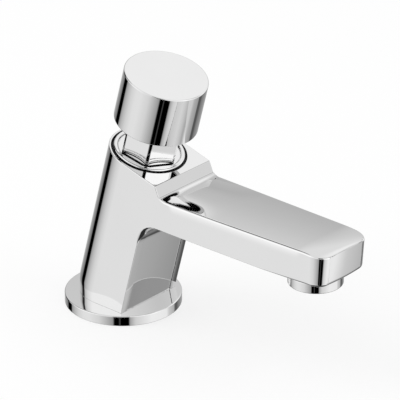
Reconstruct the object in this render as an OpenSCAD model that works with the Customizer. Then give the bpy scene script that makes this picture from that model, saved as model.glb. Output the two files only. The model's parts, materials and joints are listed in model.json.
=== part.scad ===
// Push timed basin tap
// A leaning column carries a square spout and a sprung push button. Pressing the button pushes a
// valve washer off its seat, and a piston that bleeds water through a fine jet delays the return.
// Sizes are millimetres. The origin is the centre of the base flange's underside, on the deck.
// +X runs along the spout and +Z is up. A level named w_... is a distance along the column's
// leaning axis, from where that axis meets the deck.

/* [Base flange] */
// Diameter of the round base flange
flange_d = 50; // [47:0.5:60]
// Thickness of the base flange
flange_h = 4.5; // [3.5:0.1:8]
// Chamfer on the flange's upper rim
flange_chamfer = 0.4; // [0.1:0.1:1]
// Mean diameter of the seal under the flange
base_seal_d = 40; // [34:0.5:42]
// Width of the seal under the flange
base_seal_w = 4; // [2:0.1:5]
// Thickness of the seal under the flange
base_seal_h = 2; // [1:0.1:2.5]

/* [Column] */
// Forward lean of the column, in degrees
lean = 15; // [10:0.5:18]
// Where the column's axis meets the deck, along the spout
axis_foot = -4.6; // [-6:0.1:-3]
// Width across the column's flat sides, and diameter of its round back
column_w = 34; // [33:0.5:40]
// Distance from the axis to the flat front face
column_front = 17.2; // [16:0.1:19]
// Length of the axis from the deck to the flat top face
column_top = 77.5; // [75:0.5:90]
// How far the upright heel's centre lies ahead of the axis's foot
heel_shift = 3; // [2.2:0.1:4]
// Spare radius of the heel over the column's round back
heel_ease = 0.6; // [0.4:0.1:3]

/* [Spout] */
// Distance from the axis to the front edge of the top face
step_front = 19.2; // [17.5:0.1:21]
// How far the step's foot lies ahead of its top edge
step_run = 2.4; // [0.5:0.1:4]
// Fillet at the foot of the step
step_fillet = 3; // [1:0.1:4]
// Height of the step, from the top face's front edge down to the spout
step_drop = 5.39; // [3:0.01:7.5]
// Rise of the spout's top from its root to its tip
spout_rise = 1.2; // [0:0.1:4]
// Depth of the spout at its root
spout_h = 13.8; // [12:0.1:16]
// Distance from the origin to the tip of the spout
spout_reach = 121.2; // [110:0.2:160]
// Width of the spout at its tip
tip_w = 29; // [27.5:0.5:34]
// Radius of the upright edges at the tip
tip_corner = 3.5; // [1:0.1:6]
// Radius of the upper edge of the tip
tip_brow = 4; // [1:0.1:6]
// Radius of the lower edge of the tip
tip_chin = 1; // [0.3:0.1:3]
// Radius of the arch between the column and the spout's underside
arch_r = 8; // [4:0.1:12]

/* [Waterway] */
// Width of the water channel in the spout
channel_w = 18; // [12:0.5:20]
// Height of the water channel in the spout
channel_h = 5; // [4:0.1:6]
// Diameter of the inlet chamber under the valve seat
chamber_d = 17; // [16.8:0.1:19]
// Diameter of the bore that holds the valve cage
cage_bore_d = 25; // [24:0.1:27]

/* [Outlet] */
// Distance from the tip of the spout back to the outlet's centre
outlet_inset = 15; // [13.5:0.1:30]
// Diameter of the visible outlet ring
outlet_d = 22.9; // [22:0.1:24]
// How far the outlet ring hangs below the spout
outlet_drop = 6.3; // [5:0.1:9]
// Height of the cast boss above the outlet ring
outlet_boss_h = 1.8; // [1:0.1:2.5]
// How much the boss widens towards the spout, on each side
outlet_flare = 1.6; // [0.4:0.1:1.6]
// Diameter of the outlet ring's threaded spigot
spigot_d = 19; // [18.4:0.1:20]
// Inside diameter of the outlet ring
aerator_bore_d = 16; // [14:0.1:16.4]
// Width of the inner lip that holds the aerator in
aerator_lip = 0.8; // [0.4:0.1:1.5]
// Height of that lip
aerator_lip_h = 1.2; // [0.8:0.1:1.6]
// Height of the aerator insert
insert_h = 4.4; // [3:0.1:4.6]
// Thickness of the flow regulator disc
regulator_h = 1.8; // [1:0.1:2]
// Thickness of the web between the outlet's gasket and the water channel
outlet_web = 1; // [0.6:0.1:1.6]

/* [Head nut] */
// Width across the flats of the hexagon under the button
hex_af = 22; // [21.5:0.1:24]
// Height of the hexagon above its flange
hex_h = 19.6; // [17:0.1:20.5]
// Turn of the hexagon about the axis, in degrees
hex_turn = 7; // [0:1:59]
// Diameter of the head nut's round flange
head_flange_d = 31.8; // [30:0.1:32.4]
// Thickness of that flange
head_flange_h = 2.4; // [1.6:0.1:3]
// How far the flange stands above the column's top face
head_proud = 0.4; // [0:0.1:1]
// Chamfer on the flange's rim
head_chamfer = 0.7; // [0.2:0.1:0.9]
// Diameter of the head nut's thread
head_thread_d = 28; // [27:0.1:29]
// Length of the head nut's thread
head_thread_h = 7.5; // [6:0.1:8]
// Bore of the timing cylinder inside the head nut
cylinder_d = 18; // [17.5:0.1:19]
// Thickness of the gland at the top of the cylinder
gland_h = 6.5; // [5:0.1:8]
// Thickness of the gasket under the head flange
head_gasket_h = 1; // [0.5:0.1:1.5]

/* [Push button] */
// Diameter of the push button
button_d = 35.5; // [33:0.1:40]
// Height of the push button
button_h = 23.4; // [22.5:0.1:30]
// Gap under the button at rest, above the column's top face
button_gap = 14.7; // [12:0.1:16]
// How far the button travels
stroke = 7; // [4:0.1:7.5]
// Wall of the button's skirt
button_wall = 2.2; // [1.2:0.1:3]
// Thickness of the button's roof
button_roof = 6; // [4.5:0.1:8]
// Metal left above the stem's end in the button
button_cap = 3.2; // [2:0.1:4]
// Chamfer on the button's top and bottom rims
button_chamfer = 0.5; // [0.1:0.1:1.5]
// Diameter of the boss that takes the stem
button_boss_d = 13; // [11:0.5:18]

/* [Plunger] */
// Diameter of the stem in the gland
stem_d = 8; // [7.4:0.1:9]
// Diameter of the stem's lower shank and of its upper spigot
shank_d = 6; // [5:0.1:6.6]
// Length of the timing piston
piston_h = 8; // [6:0.1:9]
// Diameter of the calibrated jet in the piston
jet_d = 2.4; // [1.6:0.1:2.6]
// Orifice of the jet
jet_orifice = 0.6; // [0.4:0.05:1]
// Height of the piston's lip seal
lip_seal_h = 3; // [2:0.1:4]
// Diameter of the rubber valve washer
washer_d = 14; // [13.6:0.1:14.2]
// Thickness of the valve washer
washer_h = 3; // [2:0.1:4]
// Thickness of the washer holder's floor
holder_h = 2; // [1.2:0.1:3]
// Height of the washer holder's rim
holder_rim_h = 1.5; // [0.5:0.1:1.8]
// Width across the flats of the washer nut
washer_nut_af = 10; // [9:0.5:13]
// Height of the washer nut
washer_nut_h = 3; // [2:0.1:4]

/* [Valve] */
// Distance from the middle of the cage's windows down to the seat
seat_depth = 21.2; // [19:0.1:23]
// Thickness of the valve seat
seat_h = 4; // [3.6:0.1:5]
// Bore of the valve seat
seat_bore_d = 12; // [10:0.1:12.2]
// Height of the lip that the valve washer closes on
seat_lip_h = 1; // [0.6:0.1:1.5]
// Wall of the valve cage
cage_wall = 1.6; // [1:0.1:2]
// Thickness of the cage's floor, which carries the spring
cage_floor_h = 2.4; // [1.5:0.1:4]
// Width of each window in the cage
window_w = 9; // [6:0.1:10]
// Wire diameter of the return spring
wire_d = 1.3; // [1:0.05:1.5]
// Mean diameter of the return spring
spring_d = 14.6; // [14.2:0.1:15.6]
// Turns of the return spring between its two closed ends
spring_turns = 6; // [4:1:7]

/* [Tail] */
// Diameter of the threaded tail, a half-inch pipe thread
tail_d = 20.95; // [20.5:0.05:21.3]
// Length of the tail below the deck
tail_length = 48; // [44:0.5:70]
// Bore of the tail
tail_bore_d = 14; // [10:0.1:14.5]
// Diameter of the tail's spigot in the column
tail_spigot_d = 20; // [18.5:0.1:20.3]
// Height of the tail's spigot
tail_spigot_h = 9; // [6:0.1:10]
// Thickness of the deck that the tap is clamped to
deck_h = 20; // [5:0.5:22]
// Length of the tail's free end, for the supply nut
tail_end_h = 12.5; // [10:0.1:14]
// Width of the run-out groove above the free end
groove_w = 2; // [1:0.1:2.5]
// Depth of the run-out groove
groove_depth = 0.9; // [0.4:0.1:1.2]
// Outside diameter of the rubber deck washer
deck_washer_d = 34; // [30:0.5:40]
// Thickness of the rubber deck washer
deck_washer_h = 3; // [1.5:0.1:4]
// Outside diameter of the steel clamp washer
clamp_washer_d = 36; // [30:0.5:42]
// Thickness of the steel clamp washer
clamp_washer_h = 1.5; // [1:0.1:2]
// Width across the flats of the backnut
backnut_af = 30; // [27:0.5:36]
// Height of the backnut
backnut_h = 8; // [6:0.1:8.5]
// Diameter of the strainer in the tail's mouth
strainer_d = 16; // [15.2:0.1:17]
// Depth of the strainer
strainer_h = 4; // [3:0.1:6]

/* [Clearances] */
// Radial clearance where one piece slides in another
running_fit = 0.05; // [0.02:0.01:0.1]
// Radial clearance where a piece is fixed in another
assembly_fit = 0.1; // [0.05:0.05:0.2]
// Gap between the valve washer and its seat at rest
rest_gap = 0.3; // [0.1:0.05:0.5]
// Room left past the end of a stroke
end_room = 1; // [0.5:0.1:1.5]

/* [Hidden] */
$fn = 96;

chrome = [0.82, 0.83, 0.85];
brass = [0.78, 0.62, 0.30];
steel = [0.66, 0.67, 0.69];
rubber = [0.10, 0.10, 0.11];
acetal = [0.90, 0.90, 0.88];
red_fibre = [0.55, 0.16, 0.12];

// How far a cut passes the face that it opens
through = 1;
// Edge of a block that is larger than the whole tap
beyond = 400;
// How far an arc stops short of the edges that it runs into
arc_seam = 0.01;
hex_points = 6;
// Ratio of a hexagon's corner circle to its width across the flats
hex_corner = 1 / cos(180 / hex_points);

// Levels along the column's axis, from the top face down
w_head_top = column_top + head_proud;
w_head_seat = w_head_top - head_flange_h;
w_recess = w_head_seat - head_gasket_h;
w_head_foot = w_head_seat - head_thread_h;
w_hex_top = w_head_top + hex_h;
w_cylinder_top = w_hex_top - gland_h;
w_piston = w_head_foot + stroke + end_room;
w_shoulder = w_piston + piston_h;

// The spout hangs from the step at the front edge of the top face
step_edge = axis_point(step_front, column_top);
spout_top = step_edge.y - step_drop;
spout_under = spout_top - spout_h;

// The water channel runs at the middle of the spout, and the cage's windows face it
channel_z = (spout_under + spout_top) / 2;
w_window = (channel_z + cage_bore_d / 2 * sin(lean)) / cos(lean);
window_margin = 0.8;
window_h = channel_h / cos(lean) + 2 * window_margin;
w_seat_top = w_window - seat_depth;
w_seat = w_seat_top - seat_h;
w_seat_lip = w_seat - seat_lip_h;
seat_lip_w = 0.9;
w_cage_floor = w_seat_top + cage_floor_h;
cage_d = cage_bore_d - 2 * assembly_fit;
cage_inner_d = cage_d - 2 * cage_wall;
cage_floor_bore_d = seat_bore_d + 2 * assembly_fit;

// Valve pieces on the stem's lower end
w_washer_top = w_seat_lip - rest_gap;
w_washer = w_washer_top - washer_h;
w_holder = w_washer - holder_h;
w_washer_nut = w_holder - washer_nut_h;
w_stem_end = w_washer_nut - end_room;
holder_wall = 0.9;
holder_d = washer_d + 2 * (assembly_fit + holder_wall);
shank_bore_d = shank_d + 2 * assembly_fit;
w_chamber = w_stem_end - stroke - 2 * end_room;

// Push button and the stem's upper end
w_button = column_top + button_gap;
w_button_top = w_button + button_h;
w_button_roof = w_button_top - button_roof;
w_button_boss = w_hex_top + stroke + end_room;
w_stem_top = w_button_top - button_cap;

// Seals of round cord: the cord's diameter, and the groove's spare height
cord_d = 1.9;
groove_room = 0.3;
stem_seal_d = stem_d + 2 * running_fit + cord_d;
stem_groove_d = stem_seal_d + cord_d + 2 * assembly_fit;
w_stem_seal = w_cylinder_top + gland_h / 2;
seat_seal_d = cage_bore_d - 2 * assembly_fit - cord_d;
seat_groove_d = seat_seal_d - cord_d - 2 * assembly_fit;
w_seat_seal = w_seat + seat_h / 2;
lip_groove_depth = 2.2;
lip_land = 1.5;
lip_groove_d = cylinder_d - 2 * lip_groove_depth;
w_lip_seal = w_shoulder - lip_seal_h - lip_land;
jet_offset = (shank_bore_d + lip_groove_d) / 4;

// Outlet levels, and the aerator stack between the lip and the gasket
outlet_x = spout_reach - outlet_inset;
z_outlet = spout_under - outlet_drop;
z_ring_top = spout_under - outlet_boss_h;
z_outlet_shoulder = channel_z - channel_h / 2 - outlet_web;
outlet_gasket_h = 1;
z_spigot_top = z_outlet_shoulder - outlet_gasket_h;
z_insert = z_outlet + aerator_lip_h;
z_regulator = z_insert + insert_h;
gasket_lip = 1;
outlet_drop_d = aerator_bore_d - 2 * gasket_lip;

// Tail levels
tail_gasket_h = 1;
z_tail_spigot = flange_h + tail_spigot_h;
z_deck_washer = -deck_h - deck_washer_h;
z_clamp_washer = z_deck_washer - clamp_washer_h;
z_backnut = z_clamp_washer - backnut_h;
tail_hole_d = tail_d + 4 * assembly_fit;

// Shared helpers

function unit(v) = v / norm(v);

// A point in the XZ plane, given ahead of the leaning axis and along it
function axis_point(ahead, w) = [
    axis_foot + ahead * cos(lean) + w * sin(lean),
    w * cos(lean) - ahead * sin(lean)
];

// The level along the axis at which a point ahead of it reaches a height
function level_at(ahead, z) = (z + ahead * sin(lean)) / cos(lean);

module on_axis(w = 0) {
    translate([axis_foot, 0, 0])
        rotate([0, lean, 0])
            translate([0, 0, w])
                children();
}

module tube(outer_d, inner_d, h) {
    difference() {
        cylinder(d = outer_d, h = h);
        translate([0, 0, -through])
            cylinder(d = inner_d, h = h + 2 * through);
    }
}

module hexagon(af, h) {
    cylinder(d = af * hex_corner, h = h, $fn = hex_points);
}

module cord_ring(mean_d) {
    rotate_extrude()
        translate([mean_d / 2, 0])
            circle(d = cord_d);
}

// A corner's arc: the two points where it leaves the edges, and its centre
function half_angle(before, corner, after) =
    acos(unit(before - corner) * unit(after - corner)) / 2;

function arc_ends(before, corner, after, r) =
    let (run = r / tan(half_angle(before, corner, after)))
    [corner + unit(before - corner) * run, corner + unit(after - corner) * run];

function arc_centre(before, corner, after, r) =
    corner
    + unit(unit(before - corner) + unit(after - corner)) * r
    / sin(half_angle(before, corner, after));

// An outline with a radius at each corner: above zero for an outer corner, below for an inner one
module rounded_outline(points, radii) {
    last = len(points) - 1;
    function before(i) = points[i == 0 ? last : i - 1];
    function after(i) = points[i == last ? 0 : i + 1];
    module arc(i) {
        r = abs(radii[i]);
        translate(arc_centre(before(i), points[i], after(i), r))
            circle(r = r - arc_seam);
    }
    difference() {
        union() {
            polygon([
                for (i = [0 : last])
                    each radii[i] == 0
                        ? [points[i]]
                        : arc_ends(before(i), points[i], after(i), abs(radii[i]))
            ]);
            for (i = [0 : last])
                if (radii[i] > 0)
                    arc(i);
        }
        for (i = [0 : last])
            if (radii[i] < 0)
                arc(i);
    }
}

// Round holes in rings about the middle of a plate
module perforations(rings, pitch, hole_d, h) {
    for (ring = [0 : rings]) {
        count = max(1, 6 * ring);
        for (i = [0 : count - 1])
            rotate(360 * i / count)
                translate([ring * pitch, 0, -through])
                    cylinder(d = hole_d, h = h + 2 * through);
    }
}

// Cast body: column, step, spout and outlet boss, with the bores and waterways

module column_section() {
    circle(d = column_w);
    translate([0, -column_w / 2])
        square([column_front, column_w]);
}

// The round back leans down to a heel that stands upright on the flange
heel_r = column_w / 2 + heel_ease;
heel_x = axis_foot + heel_shift;

module foot_outline() {
    translate([heel_x, 0]) {
        circle(r = heel_r);
        translate([0, -beyond / 2])
            square(beyond);
    }
}

module column() {
    intersection() {
        on_axis(-column_w)
            linear_extrude(column_top + column_w)
                column_section();
        translate([0, 0, flange_h])
            linear_extrude(beyond)
                foot_outline();
    }
}

step_foot = [step_edge.x + step_run, spout_top];
brow = [spout_reach, spout_top + spout_rise];
chin = [spout_reach, spout_under];
w_root = level_at(column_front, spout_under);
root = axis_point(column_front, w_root);
w_arch = w_root - 2 * arch_r;

module spout_profile() {
    rounded_outline(
        [
            axis_point(0, column_top), step_edge, step_foot, brow, chin, root,
            axis_point(column_front, w_arch), axis_point(0, w_arch)
        ],
        [0, 0, -step_fillet, tip_brow, tip_chin, -arch_r, 0, 0]
    );
}

module spout_plan() {
    half = column_w / 2;
    tip_half = tip_w / 2;
    rounded_outline(
        [
            [0, -half], [step_foot.x, -half], [spout_reach, -tip_half],
            [spout_reach, tip_half], [step_foot.x, half], [0, half]
        ],
        [0, 0, tip_corner, tip_corner, 0, 0]
    );
}

module spout() {
    intersection() {
        rotate([90, 0, 0])
            linear_extrude(column_w, center = true)
                spout_profile();
        linear_extrude(beyond)
            spout_plan();
    }
}

module outlet_boss() {
    root_h = outlet_web;
    flare_rate = outlet_flare / outlet_boss_h;
    translate([outlet_x, 0, z_ring_top])
        cylinder(
            d1 = outlet_d,
            d2 = outlet_d + 2 * flare_rate * (outlet_boss_h + root_h),
            h = outlet_boss_h + root_h
        );
}

module cartridge_bores() {
    on_axis(w_chamber)
        cylinder(d = chamber_d, h = w_seat - w_chamber + through);
    on_axis(w_seat)
        cylinder(d = cage_bore_d, h = w_head_foot - w_seat + through);
    on_axis(w_head_foot)
        cylinder(d = head_thread_d + 2 * assembly_fit, h = w_recess - w_head_foot + through);
    on_axis(w_recess)
        cylinder(d = head_flange_d + 4 * assembly_fit, h = column_top - w_recess + through);
}

module inlet_bores() {
    inlet_top = w_chamber * cos(lean) + chamber_d / 2 * sin(lean);
    translate([0, 0, flange_h - through])
        cylinder(d = tail_bore_d, h = inlet_top - flange_h + through);
    translate([0, 0, flange_h - through])
        cylinder(
            d = tail_spigot_d + 2 * assembly_fit,
            h = tail_spigot_h + tail_gasket_h + through
        );
}

module channel_section() {
    flat_w = channel_w - channel_h;
    translate([-flat_w / 2, -channel_h / 2])
        square([flat_w, channel_h]);
    for (side = [-1, 1])
        translate([side * flat_w / 2, 0])
            circle(d = channel_h);
}

module spout_channel() {
    start = axis_point(0, level_at(0, channel_z)).x;
    translate([start, 0, channel_z])
        rotate([90, 0, 90])
            linear_extrude(outlet_x - start)
                channel_section();
}

module outlet_bores() {
    translate([outlet_x, 0, z_ring_top - through])
        cylinder(d = spigot_d + 2 * assembly_fit, h = z_outlet_shoulder - z_ring_top + through);
    translate([outlet_x, 0, z_ring_top])
        cylinder(d = outlet_drop_d, h = channel_z + channel_h / 2 - z_ring_top);
}

module tap_body() {
    color(chrome)
        difference() {
            union() {
                column();
                spout();
                outlet_boss();
            }
            cartridge_bores();
            inlet_bores();
            spout_channel();
            outlet_bores();
        }
}

// Base flange, tail and deck fixings

module base_flange() {
    hole_r = tail_hole_d / 2;
    rim_r = flange_d / 2;
    groove_inner_r = (base_seal_d - base_seal_w) / 2 - assembly_fit;
    groove_outer_r = (base_seal_d + base_seal_w) / 2 + assembly_fit;
    color(chrome)
        rotate_extrude()
            polygon([
                [hole_r, 0], [groove_inner_r, 0], [groove_inner_r, base_seal_h],
                [groove_outer_r, base_seal_h], [groove_outer_r, 0], [rim_r, 0],
                [rim_r, flange_h - flange_chamfer], [rim_r - flange_chamfer, flange_h],
                [hole_r, flange_h]
            ]);
}

module base_seal() {
    color(rubber)
        tube(base_seal_d + base_seal_w, base_seal_d - base_seal_w, base_seal_h);
}

module inlet_tail() {
    thread_r = tail_d / 2;
    groove_r = thread_r - groove_depth;
    z_end = -tail_length;
    z_groove = z_end + tail_end_h;
    color(brass)
        difference() {
            rotate_extrude()
                polygon([
                    [0, z_end], [thread_r, z_end], [thread_r, z_groove], [groove_r, z_groove],
                    [groove_r, z_groove + groove_w], [thread_r, z_groove + groove_w],
                    [thread_r, flange_h], [tail_spigot_d / 2, flange_h],
                    [tail_spigot_d / 2, z_tail_spigot], [0, z_tail_spigot]
                ]);
            translate([0, 0, z_end - through])
                cylinder(d = tail_bore_d, h = tail_length + z_tail_spigot + 2 * through);
            translate([0, 0, z_end - through])
                cylinder(d = strainer_d + 2 * assembly_fit, h = strainer_h + through);
        }
}

module tail_seal() {
    color(red_fibre)
        translate([0, 0, z_tail_spigot])
            tube(tail_spigot_d, tail_bore_d, tail_gasket_h);
}

module inlet_strainer() {
    rim_w = 1.2;
    screen_h = 0.8;
    hole_d = 1.6;
    hole_pitch = 2.3;
    color(steel)
        translate([0, 0, -tail_length]) {
            tube(strainer_d, strainer_d - 2 * rim_w, strainer_h);
            difference() {
                cylinder(d = strainer_d - rim_w, h = screen_h);
                perforations(2, hole_pitch, hole_d, screen_h);
            }
        }
}

module deck_washer() {
    color(rubber)
        translate([0, 0, z_deck_washer])
            tube(deck_washer_d, tail_hole_d, deck_washer_h);
}

module clamp_washer() {
    color(steel)
        translate([0, 0, z_clamp_washer])
            tube(clamp_washer_d, tail_hole_d, clamp_washer_h);
}

module backnut() {
    color(brass)
        translate([0, 0, z_backnut])
            difference() {
                hexagon(backnut_af, backnut_h);
                translate([0, 0, -through])
                    cylinder(d = tail_d + 2 * assembly_fit, h = backnut_h + 2 * through);
            }
}

// Fixed pieces of the timing cartridge

module valve_seat() {
    bore_r = seat_bore_d / 2;
    rim_r = cage_bore_d / 2 - assembly_fit;
    groove_r = seat_groove_d / 2;
    groove_half = (cord_d + groove_room) / 2;
    color(brass)
        on_axis()
            rotate_extrude()
                polygon([
                    [bore_r, w_seat_lip], [bore_r + seat_lip_w, w_seat_lip],
                    [bore_r + seat_lip_w, w_seat], [rim_r, w_seat],
                    [rim_r, w_seat_seal - groove_half], [groove_r, w_seat_seal - groove_half],
                    [groove_r, w_seat_seal + groove_half], [rim_r, w_seat_seal + groove_half],
                    [rim_r, w_seat_top], [bore_r, w_seat_top]
                ]);
}

module seat_seal() {
    color(rubber)
        on_axis(w_seat_seal)
            cord_ring(seat_seal_d);
}

module valve_cage() {
    cage_h = w_head_foot - w_seat_top;
    color(acetal)
        on_axis(w_seat_top)
            difference() {
                cylinder(d = cage_d, h = cage_h);
                translate([0, 0, cage_floor_h])
                    cylinder(d = cage_inner_d, h = cage_h);
                translate([0, 0, -through])
                    cylinder(d = cage_floor_bore_d, h = cage_h);
                for (turn = [0 : 90 : 270])
                    rotate(turn)
                        translate([0, -window_w / 2, w_window - w_seat_top - window_h / 2])
                            cube([cage_d, window_w, window_h]);
            }
}

// Return spring: a round wire wound on a helix, with one closed turn at each end
closed_gap = 0.5;
closed_pitch = wire_d + closed_gap;
spring_h = w_piston - w_cage_floor - wire_d;
open_pitch = (spring_h - 2 * closed_pitch) / spring_turns;
wire_sides = 6;
turn_steps = 16;

function coil_rise(turn) =
    closed_pitch * min(turn, 1)
    + open_pitch * min(max(turn - 1, 0), spring_turns)
    + closed_pitch * max(turn - 1 - spring_turns, 0);

function wire_ring(turn) = [
    for (side = [0 : wire_sides - 1])
        let (
            around = 360 * side / wire_sides,
            radius = spring_d / 2 + wire_d / 2 * cos(around)
        )
        [
            radius * cos(360 * turn),
            radius * sin(360 * turn),
            wire_d / 2 * (1 + sin(around)) + coil_rise(turn)
        ]
];

module return_spring() {
    steps = (spring_turns + 2) * turn_steps;
    points = [for (i = [0 : steps]) each wire_ring(i / turn_steps)];
    walls = [
        for (i = [0 : steps - 1], side = [0 : wire_sides - 1])
            let (
                next = (side + 1) % wire_sides,
                low = i * wire_sides,
                high = low + wire_sides
            )
            each [
                [low + side, high + side, high + next],
                [low + side, high + next, low + next]
            ]
    ];
    first_cap = [for (side = [0 : wire_sides - 1]) side];
    last_cap = [for (side = [wire_sides - 1 : -1 : 0]) steps * wire_sides + side];
    color(steel)
        on_axis(w_cage_floor)
            polyhedron(points, concat(walls, [first_cap, last_cap]), convexity = 10);
}

module head_nut() {
    thread_r = head_thread_d / 2;
    flange_r = head_flange_d / 2;
    groove_half = (cord_d + groove_room) / 2;
    color(chrome)
        on_axis()
            difference() {
                union() {
                    rotate_extrude()
                        polygon([
                            [0, w_head_foot], [thread_r, w_head_foot], [thread_r, w_head_seat],
                            [flange_r, w_head_seat], [flange_r, w_head_top - head_chamfer],
                            [flange_r - head_chamfer, w_head_top], [0, w_head_top]
                        ]);
                    translate([0, 0, w_head_seat])
                        rotate(hex_turn)
                            hexagon(hex_af, w_hex_top - w_head_seat);
                }
                translate([0, 0, w_head_foot - through])
                    cylinder(d = cylinder_d, h = w_cylinder_top - w_head_foot + through);
                translate([0, 0, w_cylinder_top - through])
                    cylinder(d = stem_d + 2 * running_fit, h = gland_h + 2 * through);
                translate([0, 0, w_stem_seal - groove_half])
                    cylinder(d = stem_groove_d, h = 2 * groove_half);
            }
}

module head_gasket() {
    color(red_fibre)
        on_axis(w_recess)
            tube(head_flange_d, head_thread_d + 2 * assembly_fit, head_gasket_h);
}

module stem_seal() {
    color(rubber)
        on_axis(w_stem_seal)
            cord_ring(stem_seal_d);
}

// Outlet pieces

module at_outlet(z) {
    translate([outlet_x, 0, z])
        children();
}

module aerator_housing() {
    ring_r = outlet_d / 2;
    rim_chamfer = 0.5;
    bore_r = aerator_bore_d / 2;
    color(chrome)
        at_outlet(0)
            rotate_extrude()
                polygon([
                    [bore_r - aerator_lip, z_outlet], [ring_r - rim_chamfer, z_outlet],
                    [ring_r, z_outlet + rim_chamfer], [ring_r, z_ring_top],
                    [spigot_d / 2, z_ring_top], [spigot_d / 2, z_spigot_top],
                    [bore_r, z_spigot_top], [bore_r, z_insert], [bore_r - aerator_lip, z_insert]
                ]);
}

module aerator_insert() {
    insert_d = aerator_bore_d - 2 * assembly_fit;
    insert_wall = 0.9;
    plate_h = 1.2;
    jet_hole_d = 1.5;
    jet_hole_pitch = 2.4;
    color(acetal)
        at_outlet(z_insert) {
            tube(insert_d, insert_d - 2 * insert_wall, insert_h);
            difference() {
                cylinder(d = insert_d - insert_wall, h = plate_h);
                perforations(2, jet_hole_pitch, jet_hole_d, plate_h);
            }
        }
}

module flow_regulator() {
    disc_d = aerator_bore_d - 2 * assembly_fit;
    port_d = 2.4;
    port_pitch = 4.2;
    color(acetal)
        at_outlet(z_regulator)
            difference() {
                cylinder(d = disc_d, h = regulator_h);
                perforations(1, port_pitch, port_d, regulator_h);
            }
}

module aerator_gasket() {
    color(rubber)
        at_outlet(z_spigot_top)
            tube(spigot_d, outlet_drop_d, outlet_gasket_h);
}

// Pieces that move with the push button

module push_button() {
    button_r = button_d / 2;
    skirt_r = button_r - button_wall;
    boss_r = button_boss_d / 2;
    shank_r = shank_d / 2 + assembly_fit;
    color(chrome)
        on_axis()
            rotate_extrude()
                polygon([
                    [skirt_r, w_button], [button_r - button_chamfer, w_button],
                    [button_r, w_button + button_chamfer],
                    [button_r, w_button_top - button_chamfer],
                    [button_r - button_chamfer, w_button_top], [0, w_button_top],
                    [0, w_stem_top + assembly_fit], [shank_r, w_stem_top + assembly_fit],
                    [shank_r, w_button_boss], [boss_r, w_button_boss], [boss_r, w_button_roof],
                    [skirt_r, w_button_roof]
                ]);
}

module plunger_stem() {
    color(steel)
        on_axis() {
            translate([0, 0, w_stem_end])
                cylinder(d = shank_d, h = w_stem_top - w_stem_end);
            translate([0, 0, w_shoulder])
                cylinder(d = stem_d, h = w_button_boss - w_shoulder);
        }
}

module timing_piston() {
    piston_slack = 0.3;
    color(acetal)
        on_axis(w_piston)
            difference() {
                cylinder(d = cylinder_d - 2 * piston_slack, h = piston_h);
                translate([0, 0, -through])
                    cylinder(d = shank_bore_d, h = piston_h + 2 * through);
                translate([jet_offset, 0, -through])
                    cylinder(d = jet_d + 2 * assembly_fit, h = piston_h + 2 * through);
                translate([0, 0, w_lip_seal - w_piston - assembly_fit])
                    tube(cylinder_d, lip_groove_d, lip_seal_h + 2 * assembly_fit);
            }
}

module piston_lip_seal() {
    outer_r = cylinder_d / 2 - running_fit;
    inner_r = lip_groove_d / 2 + assembly_fit;
    lip_w = (outer_r - inner_r) / 3;
    web_h = lip_seal_h / 3;
    color(rubber)
        on_axis(w_lip_seal)
            rotate_extrude()
                polygon([
                    [inner_r, 0], [outer_r - lip_w / 2, 0], [outer_r, lip_seal_h],
                    [outer_r - lip_w, lip_seal_h], [inner_r + lip_w, web_h],
                    [inner_r + lip_w, lip_seal_h], [inner_r, lip_seal_h]
                ]);
}

module timing_jet() {
    color(brass)
        on_axis(w_piston)
            translate([jet_offset, 0, 0])
                tube(jet_d, jet_orifice, piston_h);
}

module valve_washer() {
    color(rubber)
        on_axis(w_washer)
            tube(washer_d, shank_bore_d, washer_h);
}

module washer_holder() {
    color(brass)
        on_axis(w_holder)
            difference() {
                cylinder(d = holder_d, h = holder_h + holder_rim_h);
                translate([0, 0, holder_h])
                    cylinder(d = washer_d + 2 * assembly_fit, h = holder_rim_h + through);
                translate([0, 0, -through])
                    cylinder(d = shank_bore_d, h = holder_h + 2 * through);
            }
}

module washer_nut() {
    color(brass)
        on_axis(w_washer_nut)
            difference() {
                hexagon(washer_nut_af, washer_nut_h);
                translate([0, 0, -through])
                    cylinder(d = shank_bore_d, h = washer_nut_h + 2 * through);
            }
}

tap_body();
base_flange();
base_seal();
inlet_tail();
tail_seal();
inlet_strainer();
deck_washer();
clamp_washer();
backnut();
valve_seat();
seat_seal();
valve_cage();
return_spring();
head_nut();
head_gasket();
stem_seal();
aerator_housing();
aerator_insert();
flow_regulator();
aerator_gasket();
push_button();
plunger_stem();
timing_piston();
piston_lip_seal();
timing_jet();
valve_washer();
washer_holder();
washer_nut();
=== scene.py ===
"""Finished surfaces of a push timed basin tap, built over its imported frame.

Sizes are metres in the frame's own axes: +X along the spout, +Z up, the origin on the deck.
"""
import json
import math

import bpy
from bpy.props import FloatProperty, FloatVectorProperty, PointerProperty
from mathutils import Matrix, Vector
from mathutils.geometry import tessellate_polygon


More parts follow.
